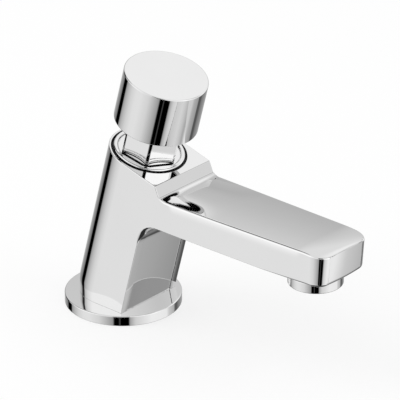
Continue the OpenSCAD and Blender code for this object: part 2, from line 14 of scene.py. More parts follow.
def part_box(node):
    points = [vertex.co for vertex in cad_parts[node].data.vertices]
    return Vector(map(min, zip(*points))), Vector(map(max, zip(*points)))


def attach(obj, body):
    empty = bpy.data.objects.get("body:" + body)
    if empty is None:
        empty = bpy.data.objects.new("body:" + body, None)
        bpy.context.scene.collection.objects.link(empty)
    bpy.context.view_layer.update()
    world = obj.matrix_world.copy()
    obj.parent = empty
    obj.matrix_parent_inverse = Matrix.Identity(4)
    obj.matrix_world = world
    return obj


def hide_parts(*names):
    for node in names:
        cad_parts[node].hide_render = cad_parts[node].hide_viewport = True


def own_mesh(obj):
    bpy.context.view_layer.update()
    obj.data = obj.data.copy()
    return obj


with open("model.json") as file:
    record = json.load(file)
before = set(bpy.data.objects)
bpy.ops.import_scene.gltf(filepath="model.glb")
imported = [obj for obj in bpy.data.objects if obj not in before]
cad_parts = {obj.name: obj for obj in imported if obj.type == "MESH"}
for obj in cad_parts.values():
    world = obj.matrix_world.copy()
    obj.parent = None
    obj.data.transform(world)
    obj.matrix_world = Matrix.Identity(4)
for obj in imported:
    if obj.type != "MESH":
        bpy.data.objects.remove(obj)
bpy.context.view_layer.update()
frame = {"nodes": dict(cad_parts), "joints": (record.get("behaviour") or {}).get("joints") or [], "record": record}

bl_info = {
    "name": "Push timed tap",
    "version": (1, 0, 0),
    "blender": (4, 5, 0),
    "location": "View3D > Sidebar > Tap",
    "description": "Builds the finished surfaces of a push timed basin tap over its packed frame",
    "category": "Object",
}

MM = 0.001
FINE = 0.2 * MM  # rounding of edges that are hardly seen
TINY = 1e-6  # lengths that differ by less are alike
SLOT_COLOURS = {slot["slot"]: slot["base_color"] for slot in frame["record"]["materials"]}
PUSH = frame["joints"][0]
FORWARD, ACROSS, UP = Vector((1, 0, 0)), Vector((0, 1, 0)), Vector((0, 0, 1))

# The column's leaning axis runs against the button's travel, through the middle of the button
AXIS = -Vector(PUSH["axis"]).normalized()
AHEAD = ACROSS.cross(AXIS)


def box_middle(node):
    """The middle of a node's box."""
    low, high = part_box(node)
    return (low + high) / 2


def axis_foot():
    """Where the leaning axis meets the deck."""
    middle = box_middle("push_button")
    return middle - AXIS * (middle.z / AXIS.z)


AXIS_FOOT = axis_foot()


def on_axis(ahead, level):
    """A point in the tap's upright middle plane, ahead of the leaning axis and along it."""
    return AXIS_FOOT + AHEAD * ahead + AXIS * level


def standing(flat):
    """A vector of the upright middle plane."""
    return Vector((flat.x, 0, flat.y))


# Properties


def length(name, millimetres, description):
    """A size, written in millimetres and kept in metres."""
    return FloatProperty(
        name=name, description=description, default=millimetres * MM, unit="LENGTH", precision=5
    )


def radius_of(name, millimetres, what):
    """The radius of something round."""
    return length(name, millimetres, "Radius of " + what)


def level_of(name, millimetres, what):
    """A place along the column's axis, from the deck."""
    return length(name, millimetres, "Along the axis to " + what)


def angle(name, degrees, description):
    """An angle, written in degrees and kept in radians."""
    return FloatProperty(
        name=name, description=description, default=math.radians(degrees), unit="ROTATION"
    )


def colour(name, default, description):
    """A colour."""
    return FloatVectorProperty(
        name=name, description=description, default=default, subtype="COLOR", min=0, max=1
    )


class BodySizes(bpy.types.PropertyGroup):
    """Sizes of the cast body"""

    column_w: length("Column width", 34, "Width across the flat sides and of the round back")
    column_front: length("Column front", 17.2, "From the axis to the flat front face")
    column_top: level_of("Column top", 77.5, "the flat top face")
    heel_ahead: length("Heel ahead", 2.4, "How far the upright heel lies ahead of the axis's foot")
    heel_bend: radius_of("Heel bend", 8, "the bend between the heel and the leaning back")
    step_front: length("Step front", 19.2, "From the axis to the front edge of the top face")
    step_run: length("Step run", 2.4, "How far the step's foot lies ahead of its edge")
    step_drop: length("Step drop", 5.39, "Height of the step")
    cove_rise: length("Cove rise", 1.2, "How far the cove at the step's foot climbs the step")
    cove_run: length("Cove run", 3.4, "How far that cove runs out over the spout")
    step_edge: length("Step edge", 0.8, "Rounding of the top face's front edge")
    spout_depth: length("Spout depth", 13.8, "Depth of the spout at its root")
    spout_rise: length("Spout rise", 1.2, "Rise of the spout's top towards its tip")
    taper_start: length("Taper start", 38.6, "Where the spout starts to narrow")
    taper_blend: length("Taper blend", 6, "Length over which the narrowing sets in")
    tip_w: length("Tip width", 30, "Width of the spout at its tip")
    tip_lead: length("Tip lead", 1.4, "How far the bowed tip stands ahead of the solid's flat one")
    tip_rake: length("Tip rake", 1, "How far the tip's face falls back towards the chin")
    corner_run: length("Corner run", 7, "How far back from the tip its upright edges start to turn")
    corner_w: length("Corner width", 5, "How far in from the side those edges end")
    brow_run: length("Brow run", 14, "How far back from the tip its brow starts")
    brow_drop: length("Brow drop", 1.3, "How far the brow falls to the tip's face")
    tip_chin: radius_of("Tip chin", 2, "the tip's lower edge")
    arch_r: radius_of("Arch", 14.5, "the arch under the spout")
    rim_edge: length("Rim edge", 0.35, "Rounding round the top face")
    roll_w: length("Roll width", 14, "Width over which the polish rolls over towards the shoulder")
    roll_run: length("Roll run", 0.7, "How far along the spout that roll lasts")
    roll_fade: length("Roll fade", 26, "Length over which it fades")
    roll: angle("Roll", 22, "How far the polish rolls over at the shoulder's edge")
    side_band: length("Side band", 4, "Height of the soft band under the spout's upper edges")
    side_roll: angle("Side roll", 12, "How far the polish rolls over in that band")
    panel_strip: length("Panel strip", 3.4, "Width of the bevels beside the front panel")
    panel_depth: length("Panel depth", 0.25, "How far the front panel lies behind its bevels")
    panel_bevel: angle("Panel bevel", 4.5, "Slope of those bevels at their outer edge")
    panel_wall: angle("Panel wall", 50, "Slope of the small wall between them and the panel")
    panel_corner: length("Panel corner", 4, "How far the panel's upper corners turn in")
    panel_bow: angle("Panel bow", 2.5, "How far the front panel turns away at its sides")
    arch_edge: length("Arch edge", 3, "Rounding of the side's edge in the arch")
    spout_edge: length("Spout edge", 0.9, "Rounding of the spout's upper edges")
    under_edge: length("Under edge", 0.3, "Rounding of the lower and front edges")
    outlet_run: length("Outlet run", 16.1, "From the outlet back to the first full row below")
    foot_edge: length("Foot edge", 0.15, "Rounding where the column stands on the flange")
    crown: angle("Crown", 2, "How far the spout's polished top falls away at its sides")
    bow: angle("Bow", 5, "How far the tip's face falls away at its sides")
    recess_r: radius_of("Recess", 16.1, "the recess for the head nut")
    recess_floor: level_of("Recess floor", 74.5, "the recess's floor")
    thread_r: radius_of("Head thread", 14.1, "the bore for the head nut's thread")
    thread_floor: level_of("Thread floor", 68, "that bore's floor")
    cage_r: radius_of("Cage bore", 12.5, "the bore for the valve cage")
    cage_floor: level_of("Cage floor", 37.78, "that bore's floor")
    chamber_r: radius_of("Chamber", 8.5, "the inlet chamber")
    chamber_floor: level_of("Chamber floor", 18.48, "the chamber's floor")
    socket_r: radius_of("Tail socket", 10.1, "the socket for the tail's spigot")
    socket_depth: length("Socket depth", 10, "Depth of that socket")
    boss_drop: length("Boss drop", 1.8, "How far the outlet boss hangs below the spout")
    boss_flare: length("Boss flare", 1.6, "How much the boss widens towards the spout")
    boss_bore_r: radius_of("Boss bore", 9.6, "the bore for the outlet ring's spigot")
    boss_bore_top: length("Boss bore top", 3.4, "How far that bore goes up into the spout")


class HeadSizes(bpy.types.PropertyGroup):
    """Sizes of the head nut and the push button"""

    hex_af: length("Hexagon", 22, "Width across the hexagon's flats")
    hex_land_r: length("Hexagon land", 12.3, "Radius to which the hexagon's corners are turned")
    hex_turn: angle("Hexagon turn", 7, "Turn of the hexagon about the axis")
    hex_top: level_of("Hexagon top", 97.5, "the hexagon's top")
    hex_edge: length("Hexagon edge", 0.6, "Rounding of the hexagon's upper edge")
    hex_gap: length("Hexagon gap", 0.6, "Height of the undercut at the hexagon's foot")
    hex_inset: length("Hexagon inset", 0.6, "Depth of that undercut")
    ring_floor: level_of("Ring floor", 77.7, "the flange's floor round the hexagon")
    seam_r: radius_of("Seam", 12.95, "the seam between that floor and its raised bead")
    seam_w: length("Seam width", 0.3, "Width of that seam")
    seam_depth: length("Seam depth", 0.5, "Depth of that seam")
    ring_top: level_of("Ring top", 78.4, "the bead's top")
    ring_r: radius_of("Ring", 15.1, "the bead's outer wall")
    ring_land: level_of("Ring land", 76.4, "the ledge under the bead")
    ring_edge: length("Ring edge", 0.65, "Rounding of the bead")
    flange_r: radius_of("Flange", 15.9, "the flange in its recess")
    flange_foot: level_of("Flange foot", 75.5, "the flange's underside")
    thread_r: radius_of("Thread", 14, "the head nut's thread")
    thread_foot: level_of("Thread foot", 68, "the thread's end")
    cylinder_r: radius_of("Cylinder", 9, "the timing cylinder")
    cylinder_top: level_of("Cylinder top", 91, "the cylinder's top")
    gland_r: radius_of("Gland", 4.05, "the gland that guides the stem")
    seal_r: radius_of("Seal groove", 6.05, "the groove for the stem's seal")
    seal_half: length("Seal groove half", 1.1, "Half the height of that groove")
    button_r: radius_of("Button", 17.75, "the push button")
    button_foot: level_of("Button foot", 92.2, "the button's lower rim at rest")
    button_top: level_of("Button top", 115.6, "the button's top at rest")
    button_edge: length("Button edge", 0.5, "Rounding of the button's rims")
    skirt_r: length("Skirt", 15.55, "Inside radius of the button's skirt")
    skirt_roof: level_of("Skirt roof", 109.6, "the roof inside the button")
    skirt_edge: length("Skirt edge", 1, "Rounding of that roof's edges")
    boss_r: radius_of("Button boss", 6.5, "the boss that takes the stem")
    boss_foot: level_of("Boss foot", 105.5, "the boss's lower face")
    spigot_r: radius_of("Stem spigot", 3.1, "the bore for the stem's spigot")
    spigot_top: level_of("Spigot top", 112.5, "that bore's end")


class FittingSizes(bpy.types.PropertyGroup):
    """Sizes of the flange, the outlet ring, the tail, its nut and the spring"""

    flange_edge: length("Flange edge", 0.45, "Rounding of the base flange's upper rim")
    flange_hole_r: radius_of("Flange hole", 10.675, "the hole in the base flange")
    seal_in: length("Seal groove inside", 17.9, "Inner radius of the groove for the base seal")
    seal_out: length("Seal groove outside", 22.1, "Outer radius of that groove")
    seal_depth: length("Seal groove depth", 2, "Depth of that groove")
    ring_h: length("Outlet ring height", 4.5, "Height of the outlet ring's visible part")
    ring_edge: length("Outlet ring edge", 0.5, "Rounding of the outlet ring's lower rim")
    spigot_r: radius_of("Outlet spigot", 9.5, "the outlet ring's spigot")
    bore_r: length("Outlet bore", 8, "Inside radius of the outlet ring")
    lip_r: length("Outlet lip", 7.2, "Inside radius of the lip that holds the aerator")
    lip_h: length("Outlet lip height", 1.2, "Height of that lip")
    tail_spigot_r: radius_of("Tail spigot", 10, "the tail's spigot in the column")
    tail_bore_r: radius_of("Tail bore", 7, "the tail's bore")
    mouth_r: radius_of("Tail mouth", 8.1, "the mouth that holds the strainer")
    mouth_depth: length("Mouth depth", 4, "Depth of that mouth")
    thread_start: length("Thread start", -3, "Height at which the tail's thread starts")
    thread_pitch: length("Thread pitch", 1.814, "Pitch of the tail's pipe thread")
    thread_depth: length("Thread depth", 0.9, "Depth of the tail's thread")
    groove_top: length("Groove top", -33.5, "Height of the run-out groove's upper edge")
    groove_foot: length("Groove foot", -35.5, "Height of its lower edge")
    nut_af: length("Backnut", 30, "Width across the backnut's flats")
    nut_bore_r: radius_of("Backnut bore", 10.575, "the backnut's bore")
    nut_bore_edge: length("Backnut bore edge", 0.6, "Rounding of that bore's rims")
    nut_chamfer: length("Backnut chamfer", 1.6, "Height of the backnut's chamfered corners")
    wire_r: radius_of("Spring wire", 0.65, "the spring's wire")
    coil_r: radius_of("Spring coil", 7.3, "the spring's coil, at the wire's middle")
    coil_foot: level_of("Spring foot", 44.18, "the cage's floor under the spring")
    coil_top: level_of("Spring top", 76, "the piston above the spring")
    closed_pitch: length("Closed pitch", 1.8, "Pitch of the spring's closed end turns")


class FinishColours(bpy.types.PropertyGroup):
    """Colours of the finishes. All but the chrome's start as the record's colours"""

    chrome: colour("Chrome", (0.83, 0.83, 0.83), "Polished chrome plate")
    brass: colour("Brass", SLOT_COLOURS["bare_brass"], "Turned brass")
    steel: colour("Steel", SLOT_COLOURS["stainless_steel"], "Stainless steel")
    rubber: colour("Rubber", SLOT_COLOURS["black_rubber"], "Moulded rubber")
    acetal: colour("Acetal", SLOT_COLOURS["white_acetal"], "Moulded acetal")
    fibre: colour("Fibre", SLOT_COLOURS["red_fibre"], "Punched fibre")


class StudioSettings(bpy.types.PropertyGroup):
    """The studio round the tap and its camera"""

    aim: FloatVectorProperty(
        name="Aim", description="Point that the camera looks at",
        default=(0.033195, 0.011771, 0.053253), subtype="TRANSLATION", unit="LENGTH", precision=5,
    )
    bearing: angle("Bearing", 41.7, "Camera's bearing round the tap")
    rise: angle("Rise", 25.8, "Camera's angle above the deck")
    distance: length("Distance", 1562.5, "From the camera to its aim")
    lens: FloatProperty(name="Lens", description="Focal length in millimetres", default=337.3)
    floor_r: radius_of("Floor", 30000, "the floor")
    floor_glow: FloatProperty(
        name="Floor glow", description="Share of the floor's white that doesn't take a shadow",
        default=0.7, min=0, max=1, subtype="FACTOR",
    )
    ambient: FloatProperty(
        name="Ambient", description="Brightness of the tent on dull surfaces", default=0.8, min=0
    )


# Outlines and skins


class Station:
    """A point of an outline, with the direction of travel there and the corner it belongs to."""

    def __init__(self, point, travel, corner=None):
        self.point, self.travel, self.corner = point, travel, corner
        self.normal = Vector((-travel.y, travel.x))


def rounded_outline(corners, radii, spacing=None, closed=False, bend=math.radians(9)):
    """Stations along corners in a plane, with the solid to the right.

    Each corner is rounded to its radius, or from one run before it to another after it.
    """
    corners = [Vector(corner) for corner in corners]
    count = len(corners)
    stations = []

    def add_arc(index):
        before = (corners[index] - corners[index - 1]).normalized()
        after = (corners[(index + 1) % count] - corners[index]).normalized()
        turn = before.angle_signed(after, 0.0)
        radius = radii[index]
        if isinstance(radius, tuple):
            back, ahead = before * radius[0], after * radius[1]
            for step in range(17):
                part = math.pi / 32 * step
                point = corners[index] - back * (1 - math.sin(part)) + ahead * (1 - math.cos(part))
                travel = back * math.cos(part) + ahead * math.sin(part)
                stations.append(Station(point, travel.normalized(), index))
            return
        if abs(turn) < 1e-4 or radius <= 0:
            stations.append(Station(corners[index], (before + after).normalized(), index))
            return
        start = corners[index] - before * (radius * math.tan(abs(turn) / 2))
        inward = Vector((before.y, -before.x)) if turn > 0 else Vector((-before.y, before.x))
        centre = start + inward * radius
        steps = max(2, math.ceil(abs(turn) / bend))
        for step in range(steps + 1):
            rotation = Matrix.Rotation(-turn * step / steps, 2)
            stations.append(Station(
                centre + rotation @ (start - centre), (rotation @ before).normalized(), index
            ))

    for index in range(count):
        if not closed and index in (0, count - 1):
            near = 1 if index == 0 else index
            travel = (corners[near] - corners[near - 1]).normalized()
            stations.append(Station(corners[index], travel, index))
        else:
            add_arc(index)
    if spacing is None:
        return stations
    filled = [stations[0]]
    for station in stations[1:]:
        last = filled[-1]
        gap = (station.point - last.point).length
        parts = math.ceil(gap / spacing) if last.corner != station.corner else 1
        for part in range(1, parts):
            filled.append(Station(last.point.lerp(station.point, part / parts), last.travel))
        filled.append(station)
    return filled


class Skin:
    """Points with their normals, and the faces between them, of one closed skin."""

    def __init__(self):
        self.points, self.normals, self.faces, self.finishes = [], [], [], []

    def add(self, point, normal):
        """Adds a point and gives its number."""
        self.points.append(Vector(point))
        self.normals.append(Vector(normal).normalized())
        return len(self.points) - 1

    def face(self, numbers, finish=0):
        """Adds a face, its points anticlockwise seen from outside."""
        numbers = list(dict.fromkeys(numbers))
        if len(numbers) > 2:
            self.faces.append(numbers)
            self.finishes.append(finish)

    def strip(self, row, following, closed=False, finish=0):
        """Joins two rows of as many points, one after the other in the direction of travel."""
        last = len(row) if closed else len(row) - 1
        for column in range(last):
            beside = (column + 1) % len(row)
            self.face((row[column], following[column], following[beside], row[beside]), finish)

    def strips(self, rows, closed=False, finish=0):
        """Joins each row to the one after it."""
        for row, following in zip(rows, rows[1:]):
            self.strip(row, following, closed, finish)

    def fan(self, middle, ring, inward, finish=0):
        """Joins a ring to one point on its axis, which ends or starts the travel."""
        for column in range(len(ring)):
            pair = (ring[column], ring[(column + 1) % len(ring)])
            self.face((middle, *(pair[::-1] if inward else pair)), finish)

    def fill(self, outer, hole, facing):
        """Fills a flat loop that has a hole in it."""
        numbers = [*outer, *hole]
        loops = [[self.points[number] for number in loop] for loop in (outer, hole)]
        for triangle in tessellate_polygon(loops):
            a, b, c = (numbers[corner] for corner in triangle)
            across = (self.points[b] - self.points[a]).cross(self.points[c] - self.points[a])
            self.face((a, b, c) if across.dot(facing) > 0 else (a, c, b))

    def lathe(self, outline, place, turns, closed=False, dull=None):
        """Turns an outline of radii and levels about an axis. Gives its rings.

        The outline's stretches that start where dull holds get the second finish, a painted shade.
        """
        rings = []
        for station in outline:
            radius, level = station.point
            if radius < 1e-7:
                normal = place.to_3x3() @ Vector((0, 0, station.normal.y))
                rings.append([self.add(place @ Vector((0, 0, level)), normal)])
                continue
            ring = []
            for turn in turns:
                out = Vector((math.cos(turn), math.sin(turn), 0))
                point = place @ (out * radius + UP * level)
                normal = place.to_3x3() @ (out * station.normal.x + UP * station.normal.y)
                ring.append(self.add(point, normal))
            rings.append(ring)
        pairs = list(zip(rings, rings[1:])) + ([(rings[-1], rings[0])] if closed else [])
        for station, (ring, following) in zip(outline, pairs):
            finish = 1 if dull and dull(station.point) else 0
            if len(ring) == 1:
                self.fan(ring[0], following, False, finish)
            elif len(following) == 1:
                self.fan(following[0], ring, True, finish)
            else:
                self.strip(ring, following, True, finish)
        return rings

    def piece(self, name, replaced, body="tap", slot="chrome_plate"):
        """Makes the skin an object that rides on a body and stands for a node."""
        mesh = bpy.data.meshes.new(name)
        mesh.from_pydata(self.points, [], self.faces)
        mesh.materials.append(finish_for(slot))
        # Faces of the second finish are painted with the dark shade of recesses
        if any(self.finishes):
            mesh.materials.append(finish_for("recess"))
        mesh.polygons.foreach_set("material_index", self.finishes)
        mesh.polygons.foreach_set("use_smooth", [True] * len(self.faces))
        mesh.update()
        mesh.normals_split_custom_set_from_vertices(self.normals)
        made = bpy.data.objects.new(name, mesh)
        bpy.context.scene.collection.objects.link(made)
        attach(made, body)
        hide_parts(replaced)
        return made


def even_turns(count):
    """Angles of as many columns round an axis."""
    return [math.tau * column / count for column in range(count)]


def upright(x=0.0):
    """The place of a piece that turns about an upright axis."""
    return Matrix.Translation((x, 0, 0))


def leaning():
    """The place of a piece that turns about the column's axis, with levels measured along it."""
    turned = Matrix((AHEAD, ACROSS, AXIS)).transposed().to_4x4()
    return Matrix.Translation(AXIS_FOOT) @ turned


def eased(value, keys):
    """A value that eases from key to key, each a place and what it is there."""
    if value <= keys[0][0]:
        return keys[0][1]
    for (start, low), (end, high) in zip(keys, keys[1:]):
        if value <= end:
            share = (value - start) / max(end - start, 1e-9)
            return low + (high - low) * share * share * (3 - 2 * share)
    return keys[-1][1]


def slerped(start, end, share):
    """A direction between two others."""
    between = start.angle(end)
    if between < 1e-4:
        return end.copy()
    first, second = math.sin((1 - share) * between), math.sin(share * between)
    return (start * first + end * second) / math.sin(between)


def rounded_edge(corner, wall, cap, radius, share):
    """A point of a rounded edge and its normal, a share of the way from a wall to its cap."""
    normal = slerped(wall, cap, share)
    return corner - (wall + cap) * radius + normal * radius, normal


# Shader nets and finishes


class Wire:
    """A socket of a node tree. Arithmetic on it adds the Math nodes that it needs."""

    def __init__(self, tree, socket=None):
        self.tree, self.socket = tree, socket

    def node(self, kind, inputs=None, out=0, stops=None, **settings):
        """Adds a node with its settings, then its ramp stops, then its socket values or links."""
        made = self.tree.nodes.new(kind)
        for name, value in settings.items():
            setattr(made, name, value)
        if stops:
            ramp = made.color_ramp
            for place, grey in stops[2:]:
                ramp.elements.new(place)
            for element, (place, grey) in zip(ramp.elements, sorted(stops)):
                element.position = place
            for element, (place, grey) in zip(ramp.elements, sorted(stops)):
                element.color = (grey, grey, grey, 1)
        for key, value in (inputs or {}).items():
            if isinstance(value, Wire):
                self.tree.links.new(value.socket, made.inputs[key])
            else:
                made.inputs[key].default_value = value
        return Wire(self.tree, made.outputs[out] if len(made.outputs) else None)

    def math(self, operation, first, second=0.0):
        """One Math node."""
        return self.node("ShaderNodeMath", {0: first, 1: second}, operation=operation)

    def blend(self, first, second):
        """A colour between two others, this value being the share of the second."""
        inputs = {0: self, 6: first, 7: second}
        return self.node("ShaderNodeMix", inputs, 2, data_type="RGBA")

    def __add__(self, other):
        return self.math("ADD", self, other)

    def __sub__(self, other):
        return self.math("SUBTRACT", self, other)

    def __rsub__(self, other):
        return self.math("SUBTRACT", other, self)

    def __mul__(self, other):
        return self.math("MULTIPLY", self, other)

    __radd__, __rmul__ = __add__, __mul__


def new_finish(name):
    """An empty material, as a wire into its tree."""
    material = bpy.data.materials.new(name)
    material.use_nodes = True
    material.node_tree.nodes.clear()
    return material, Wire(material.node_tree)


def ray_kind(net, kind):
    """Whether a ray is of a kind."""
    return net.node("ShaderNodeLightPath", out=f"Is {kind} Ray")


def solid_noise(net, scale, detail=3.0, stretch=(1, 1, 1)):
    """Noise through the solid, its scale in features a metre."""
    place = net.node("ShaderNodeTexCoord", out="Object")
    stretched = net.node("ShaderNodeMapping", {"Vector": place, "Scale": stretch})
    return net.node("ShaderNodeTexNoise", {"Vector": stretched, "Scale": scale, "Detail": detail})


def shaded(tint, factor):
    """A colour made lighter or darker, with full alpha."""
    return (*(min(1.0, part * factor) for part in tint), 1.0)


# Each finish below gives its relief, that relief's height in millimetres, where its colour is
# light, and its roughness


def polished_chrome(net):
    """Mirror chrome: a hint of polishing waves, and faint wiped patches that are less sharp."""
    waves, wiped = solid_noise(net, 90.0, 1.0), solid_noise(net, 55.0, 4.0, (1, 1.6, 0.7))
    return waves, 0.006, wiped, 0.02 + wiped * 0.03


def painted_shade_skin(net):
    """Painted shade: a dark, dull skin where shade falls in the recess round the head nut and in the button's
    skirt.
    """
    grain = solid_noise(net, 2500.0, 4.0)
    return grain, 0.02, grain, 0.6 + grain * 0.2


def turned_brass(net):
    """Brass from the lathe: fine feed marks and a patchy tarnish."""
    place = net.node("ShaderNodeTexCoord", out="Object")
    feed = net.node(
        "ShaderNodeTexWave", {"Vector": place, "Scale": 900.0, "Distortion": 0.6, "Detail": 1.0},
        out="Fac", bands_direction="Z",
    )
    tarnish = solid_noise(net, 240.0, 5.0)
    return feed * 0.6 + tarnish * 0.4, 0.012, tarnish, 0.22 + tarnish * 0.16 + feed * 0.05


def drawn_steel(net):
    """Stainless steel with fine drawing marks along the axis."""
    marks, cloud = solid_noise(net, 2600.0, 3.0, (1, 1, 0.06)), solid_noise(net, 180.0, 3.0)
    return marks, 0.006, cloud, 0.2 + marks * 0.18


def moulded_rubber(net):
    """Black rubber with a fine mould grain and a trace of bloom."""
    grain, bloom = solid_noise(net, 3200.0, 4.0), solid_noise(net, 160.0, 4.0)
    return grain, 0.03, bloom, 0.62 + grain * 0.22


def moulded_acetal(net):
    """White acetal, slightly cloudy, with a satin mould skin."""
    skin, cloud = solid_noise(net, 1500.0, 3.0), solid_noise(net, 140.0, 3.0)
    return skin, 0.008, cloud, 0.34 + skin * 0.14


def punched_fibre(net):
    """Red fibre board: matted strands and a dry surface."""
    strands, speckle = solid_noise(net, 1400.0, 6.0, (0.25, 1, 3)), solid_noise(net, 700.0, 5.0)
    return strands, 0.04, strands * 0.6 + speckle * 0.4, 0.75 + speckle * 0.2


# For each slot: its finish, its colour, that colour's darkest and lightest share, and its metal
FINISHES = {
    "chrome_plate": (polished_chrome, "chrome", 0.985, 1.015, 1.0),
    "bare_brass": (turned_brass, "brass", 0.72, 1.08, 1.0),
    "stainless_steel": (drawn_steel, "steel", 0.85, 1.1, 1.0),
    "black_rubber": (moulded_rubber, "rubber", 0.45, 1.0, 0.0),
    "white_acetal": (moulded_acetal, "acetal", 0.93, 1.02, 0.0),
    "red_fibre": (punched_fibre, "fibre", 0.6, 1.35, 0.0),
    # A dark skin that paints the shade in recesses, seams and the button's skirt
    "recess": (painted_shade_skin, "rubber", 0.08, 0.25, 0.0),
}
made_finishes = {}


def finish_for(slot):
    """The material of a slot, made when it is first asked for."""
    if slot in made_finishes:
        return made_finishes[slot]
    finish, tint_name, dark, light, metallic = FINISHES[slot]
    tint = getattr(bpy.context.scene.tap_colours, tint_name)
    material, net = new_finish(finish.__name__)
    relief, relief_mm, mask, roughness = finish(net)
    bump = net.node(
        "ShaderNodeBump", {"Height": relief, "Distance": relief_mm * MM, "Strength": 1.0}
    )
    shader = net.node("ShaderNodeBsdfPrincipled", {
        "Base Color": mask.blend(shaded(tint, dark), shaded(tint, light)),
        "Roughness": roughness, "Metallic": metallic, "Normal": bump,
    })
    net.node("ShaderNodeOutputMaterial", {"Surface": shader})
    made_finishes[slot] = material
    return material


# The cast body


class BodyBuilder:
    """The cast body as one skin: a belt over top, tip, underside and front, and a round back."""

    # Steps round an edge, across the spout's top and round the back
    ARC, MIDDLE, BACK = 6, 24, 40
    # An edge that turns by less, in radians, is left sharp
    SHARP = 0.12
    # How late the polish's roll sets in towards the shoulder's edge
    ROLL_POWER = 2.4
    # Shares of the tip's rake that its polish shows at its top and at its foot
    RAKE_SHOWN = (0.8, 1.2)
    # Shares of a bevel's slope that its polish shows halfway in and beside the panel
    BEVEL_SHOWN = (0.8, 0.6)
    # Widths of the small wall between a bevel and the panel, and of the seam along it
    WALL, SEAM = 0.2 * MM, 0.02 * MM
    # How far the panel has formed, by how far a row faces ahead
    PANEL_KEYS = [(0.75, 0.0), (0.95, 1.0)]
    # How far the rows of the flat underside face down
    FLAT = -0.99
    # Share of the foot's edge that is rounded
    FOOT_SHARE = 0.8

    def __init__(self, sizes):
        self.sizes = sizes
        self.skin = Skin()
        self.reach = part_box("tap_body")[1].x + sizes.tip_lead
        self.base_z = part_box("base_flange")[1].z
        self.half = sizes.column_w / 2
        self.edge = on_axis(sizes.step_front, sizes.column_top).xz
        self.foot = self.edge + Vector((sizes.step_run, -sizes.step_drop))
        self.under = self.foot.y - sizes.spout_depth
        self.heel_x = AXIS_FOOT.x + sizes.heel_ahead
        self.foot_r = self.FOOT_SHARE * sizes.foot_edge
        self.tip_corner()

    def tip_corner(self):
        """Finds the corner that the tip's face and the far side would meet in."""
        sizes = self.sizes
        flat = sizes.tip_w / 2 - sizes.corner_w
        x = self.reach
        for attempt in range(12):
            width, far = self.taper(x)
            x = self.reach - sizes.bow * flat / 2 - math.tan(sizes.bow) * (width - flat)
            flat = width - sizes.corner_w * math.cos(sizes.bow)
        self.corner = Vector((x, width))
        self.back_run = Vector((-far.y, far.x)) * sizes.corner_run
        self.face_run = Vector((math.sin(sizes.bow), -math.cos(sizes.bow))) * sizes.corner_w
        self.turn_x = self.corner.x + self.back_run.x
        self.face_x = (self.corner + self.face_run).x

    def side(self, x):
        """Half the body's width at a place along it, and the outward normal of its far side."""
        if x <= self.turn_x:
            return self.taper(x)
        low, high = 0.0, math.pi / 2
        for attempt in range(40):
            part = (low + high) / 2
            back, ahead = 1 - math.sin(part), 1 - math.cos(part)
            point = self.corner + self.back_run * back + self.face_run * ahead
            low, high = (part, high) if point.x < x else (low, part)
        travel = self.face_run * math.sin(part) - self.back_run * math.cos(part)
        return point.y, Vector((-travel.y, travel.x, 0)).normalized()

    def taper(self, x):
        """The same without the tip's rounded corners."""
        sizes = self.sizes
        blend = sizes.taper_blend
        run = self.reach - sizes.taper_start - blend / 2
        slope = (self.half - sizes.tip_w / 2) / run
        past = x - sizes.taper_start
        if past <= 0:
            width, rate = self.half, 0.0
        elif past < blend:
            width, rate = self.half - slope * past * past / (2 * blend), slope * past / blend
        else:
            width, rate = self.half - slope * (past - blend / 2), slope
        return width, Vector((rate, 1, 0)).normalized()

    def edge_arc(self, corner, normals, radius, tilt):
        """Points from a side round to the face beside it, and the normals that the polish shows."""
        side_normal, face_normal, shown_side, shown_face = normals
        reach = (side_normal + face_normal) / (1 + side_normal.dot(face_normal))
        centre = corner - reach * radius
        numbers = []
        for step in range(self.ARC + 1):
            share = step / self.ARC
            normal = slerped(side_normal, face_normal, share)
            shown = slerped(shown_side, shown_face, share)
            numbers.append(self.skin.add(centre + normal * radius, shown + tilt * share))
        if face_normal.angle(side_normal) > self.SHARP:
            return numbers
        return [numbers[-1]] * (self.ARC + 1)

    def belt_row(self, station, radius, spread, middle=True, band=0.0):
        """One row across the body from near to far, with a soft band below its edges."""
        point, travel = standing(station.point), standing(station.travel)
        face = standing(station.normal)
        edge_x = point.x
        for attempt in range(4):
            width, far = self.side(edge_x)
            columns, edge = spread(width - radius)
            edge_x = point.x - face.x * edge["depth"]
        past = edge_x - self.face_x
        if past > 0:
            edge["depth"] += past / face.x
            edge_x -= past
        row = {"between": [], "edge_x": edge_x}
        roll = self.sizes.side_roll * band / self.sizes.side_band
        for name, sign in (("near", -1), ("far", 1)):
            side_normal = Vector((far.x, far.y * sign, 0))
            tilted, shown = (
                face * math.cos(edge[key]) + ACROSS * (sign * math.sin(edge[key]))
                for key in ("tilt", "shown")
            )
            rolled = side_normal
            if roll:
                rolled = slerped(side_normal, shown, roll / side_normal.angle(shown))
            corner = point + ACROSS * (width * sign) - face * edge["depth"]
            normals = (side_normal, tilted, rolled, shown)
            arc = self.edge_arc(corner, normals, radius, travel * edge["fall"])
            row[name] = arc
            row[name + "_band"] = arc[0]
            if band:
                low = self.skin.points[arc[0]] - UP * band
                row[name + "_band"] = self.skin.add(low, side_normal)
        for y, depth, tilt, fall in columns if middle else ():
            normal = face * math.cos(tilt) + ACROSS * math.sin(tilt) + travel * fall
            row["between"].append(self.skin.add(point + ACROSS * y - face * depth, normal))
        return row

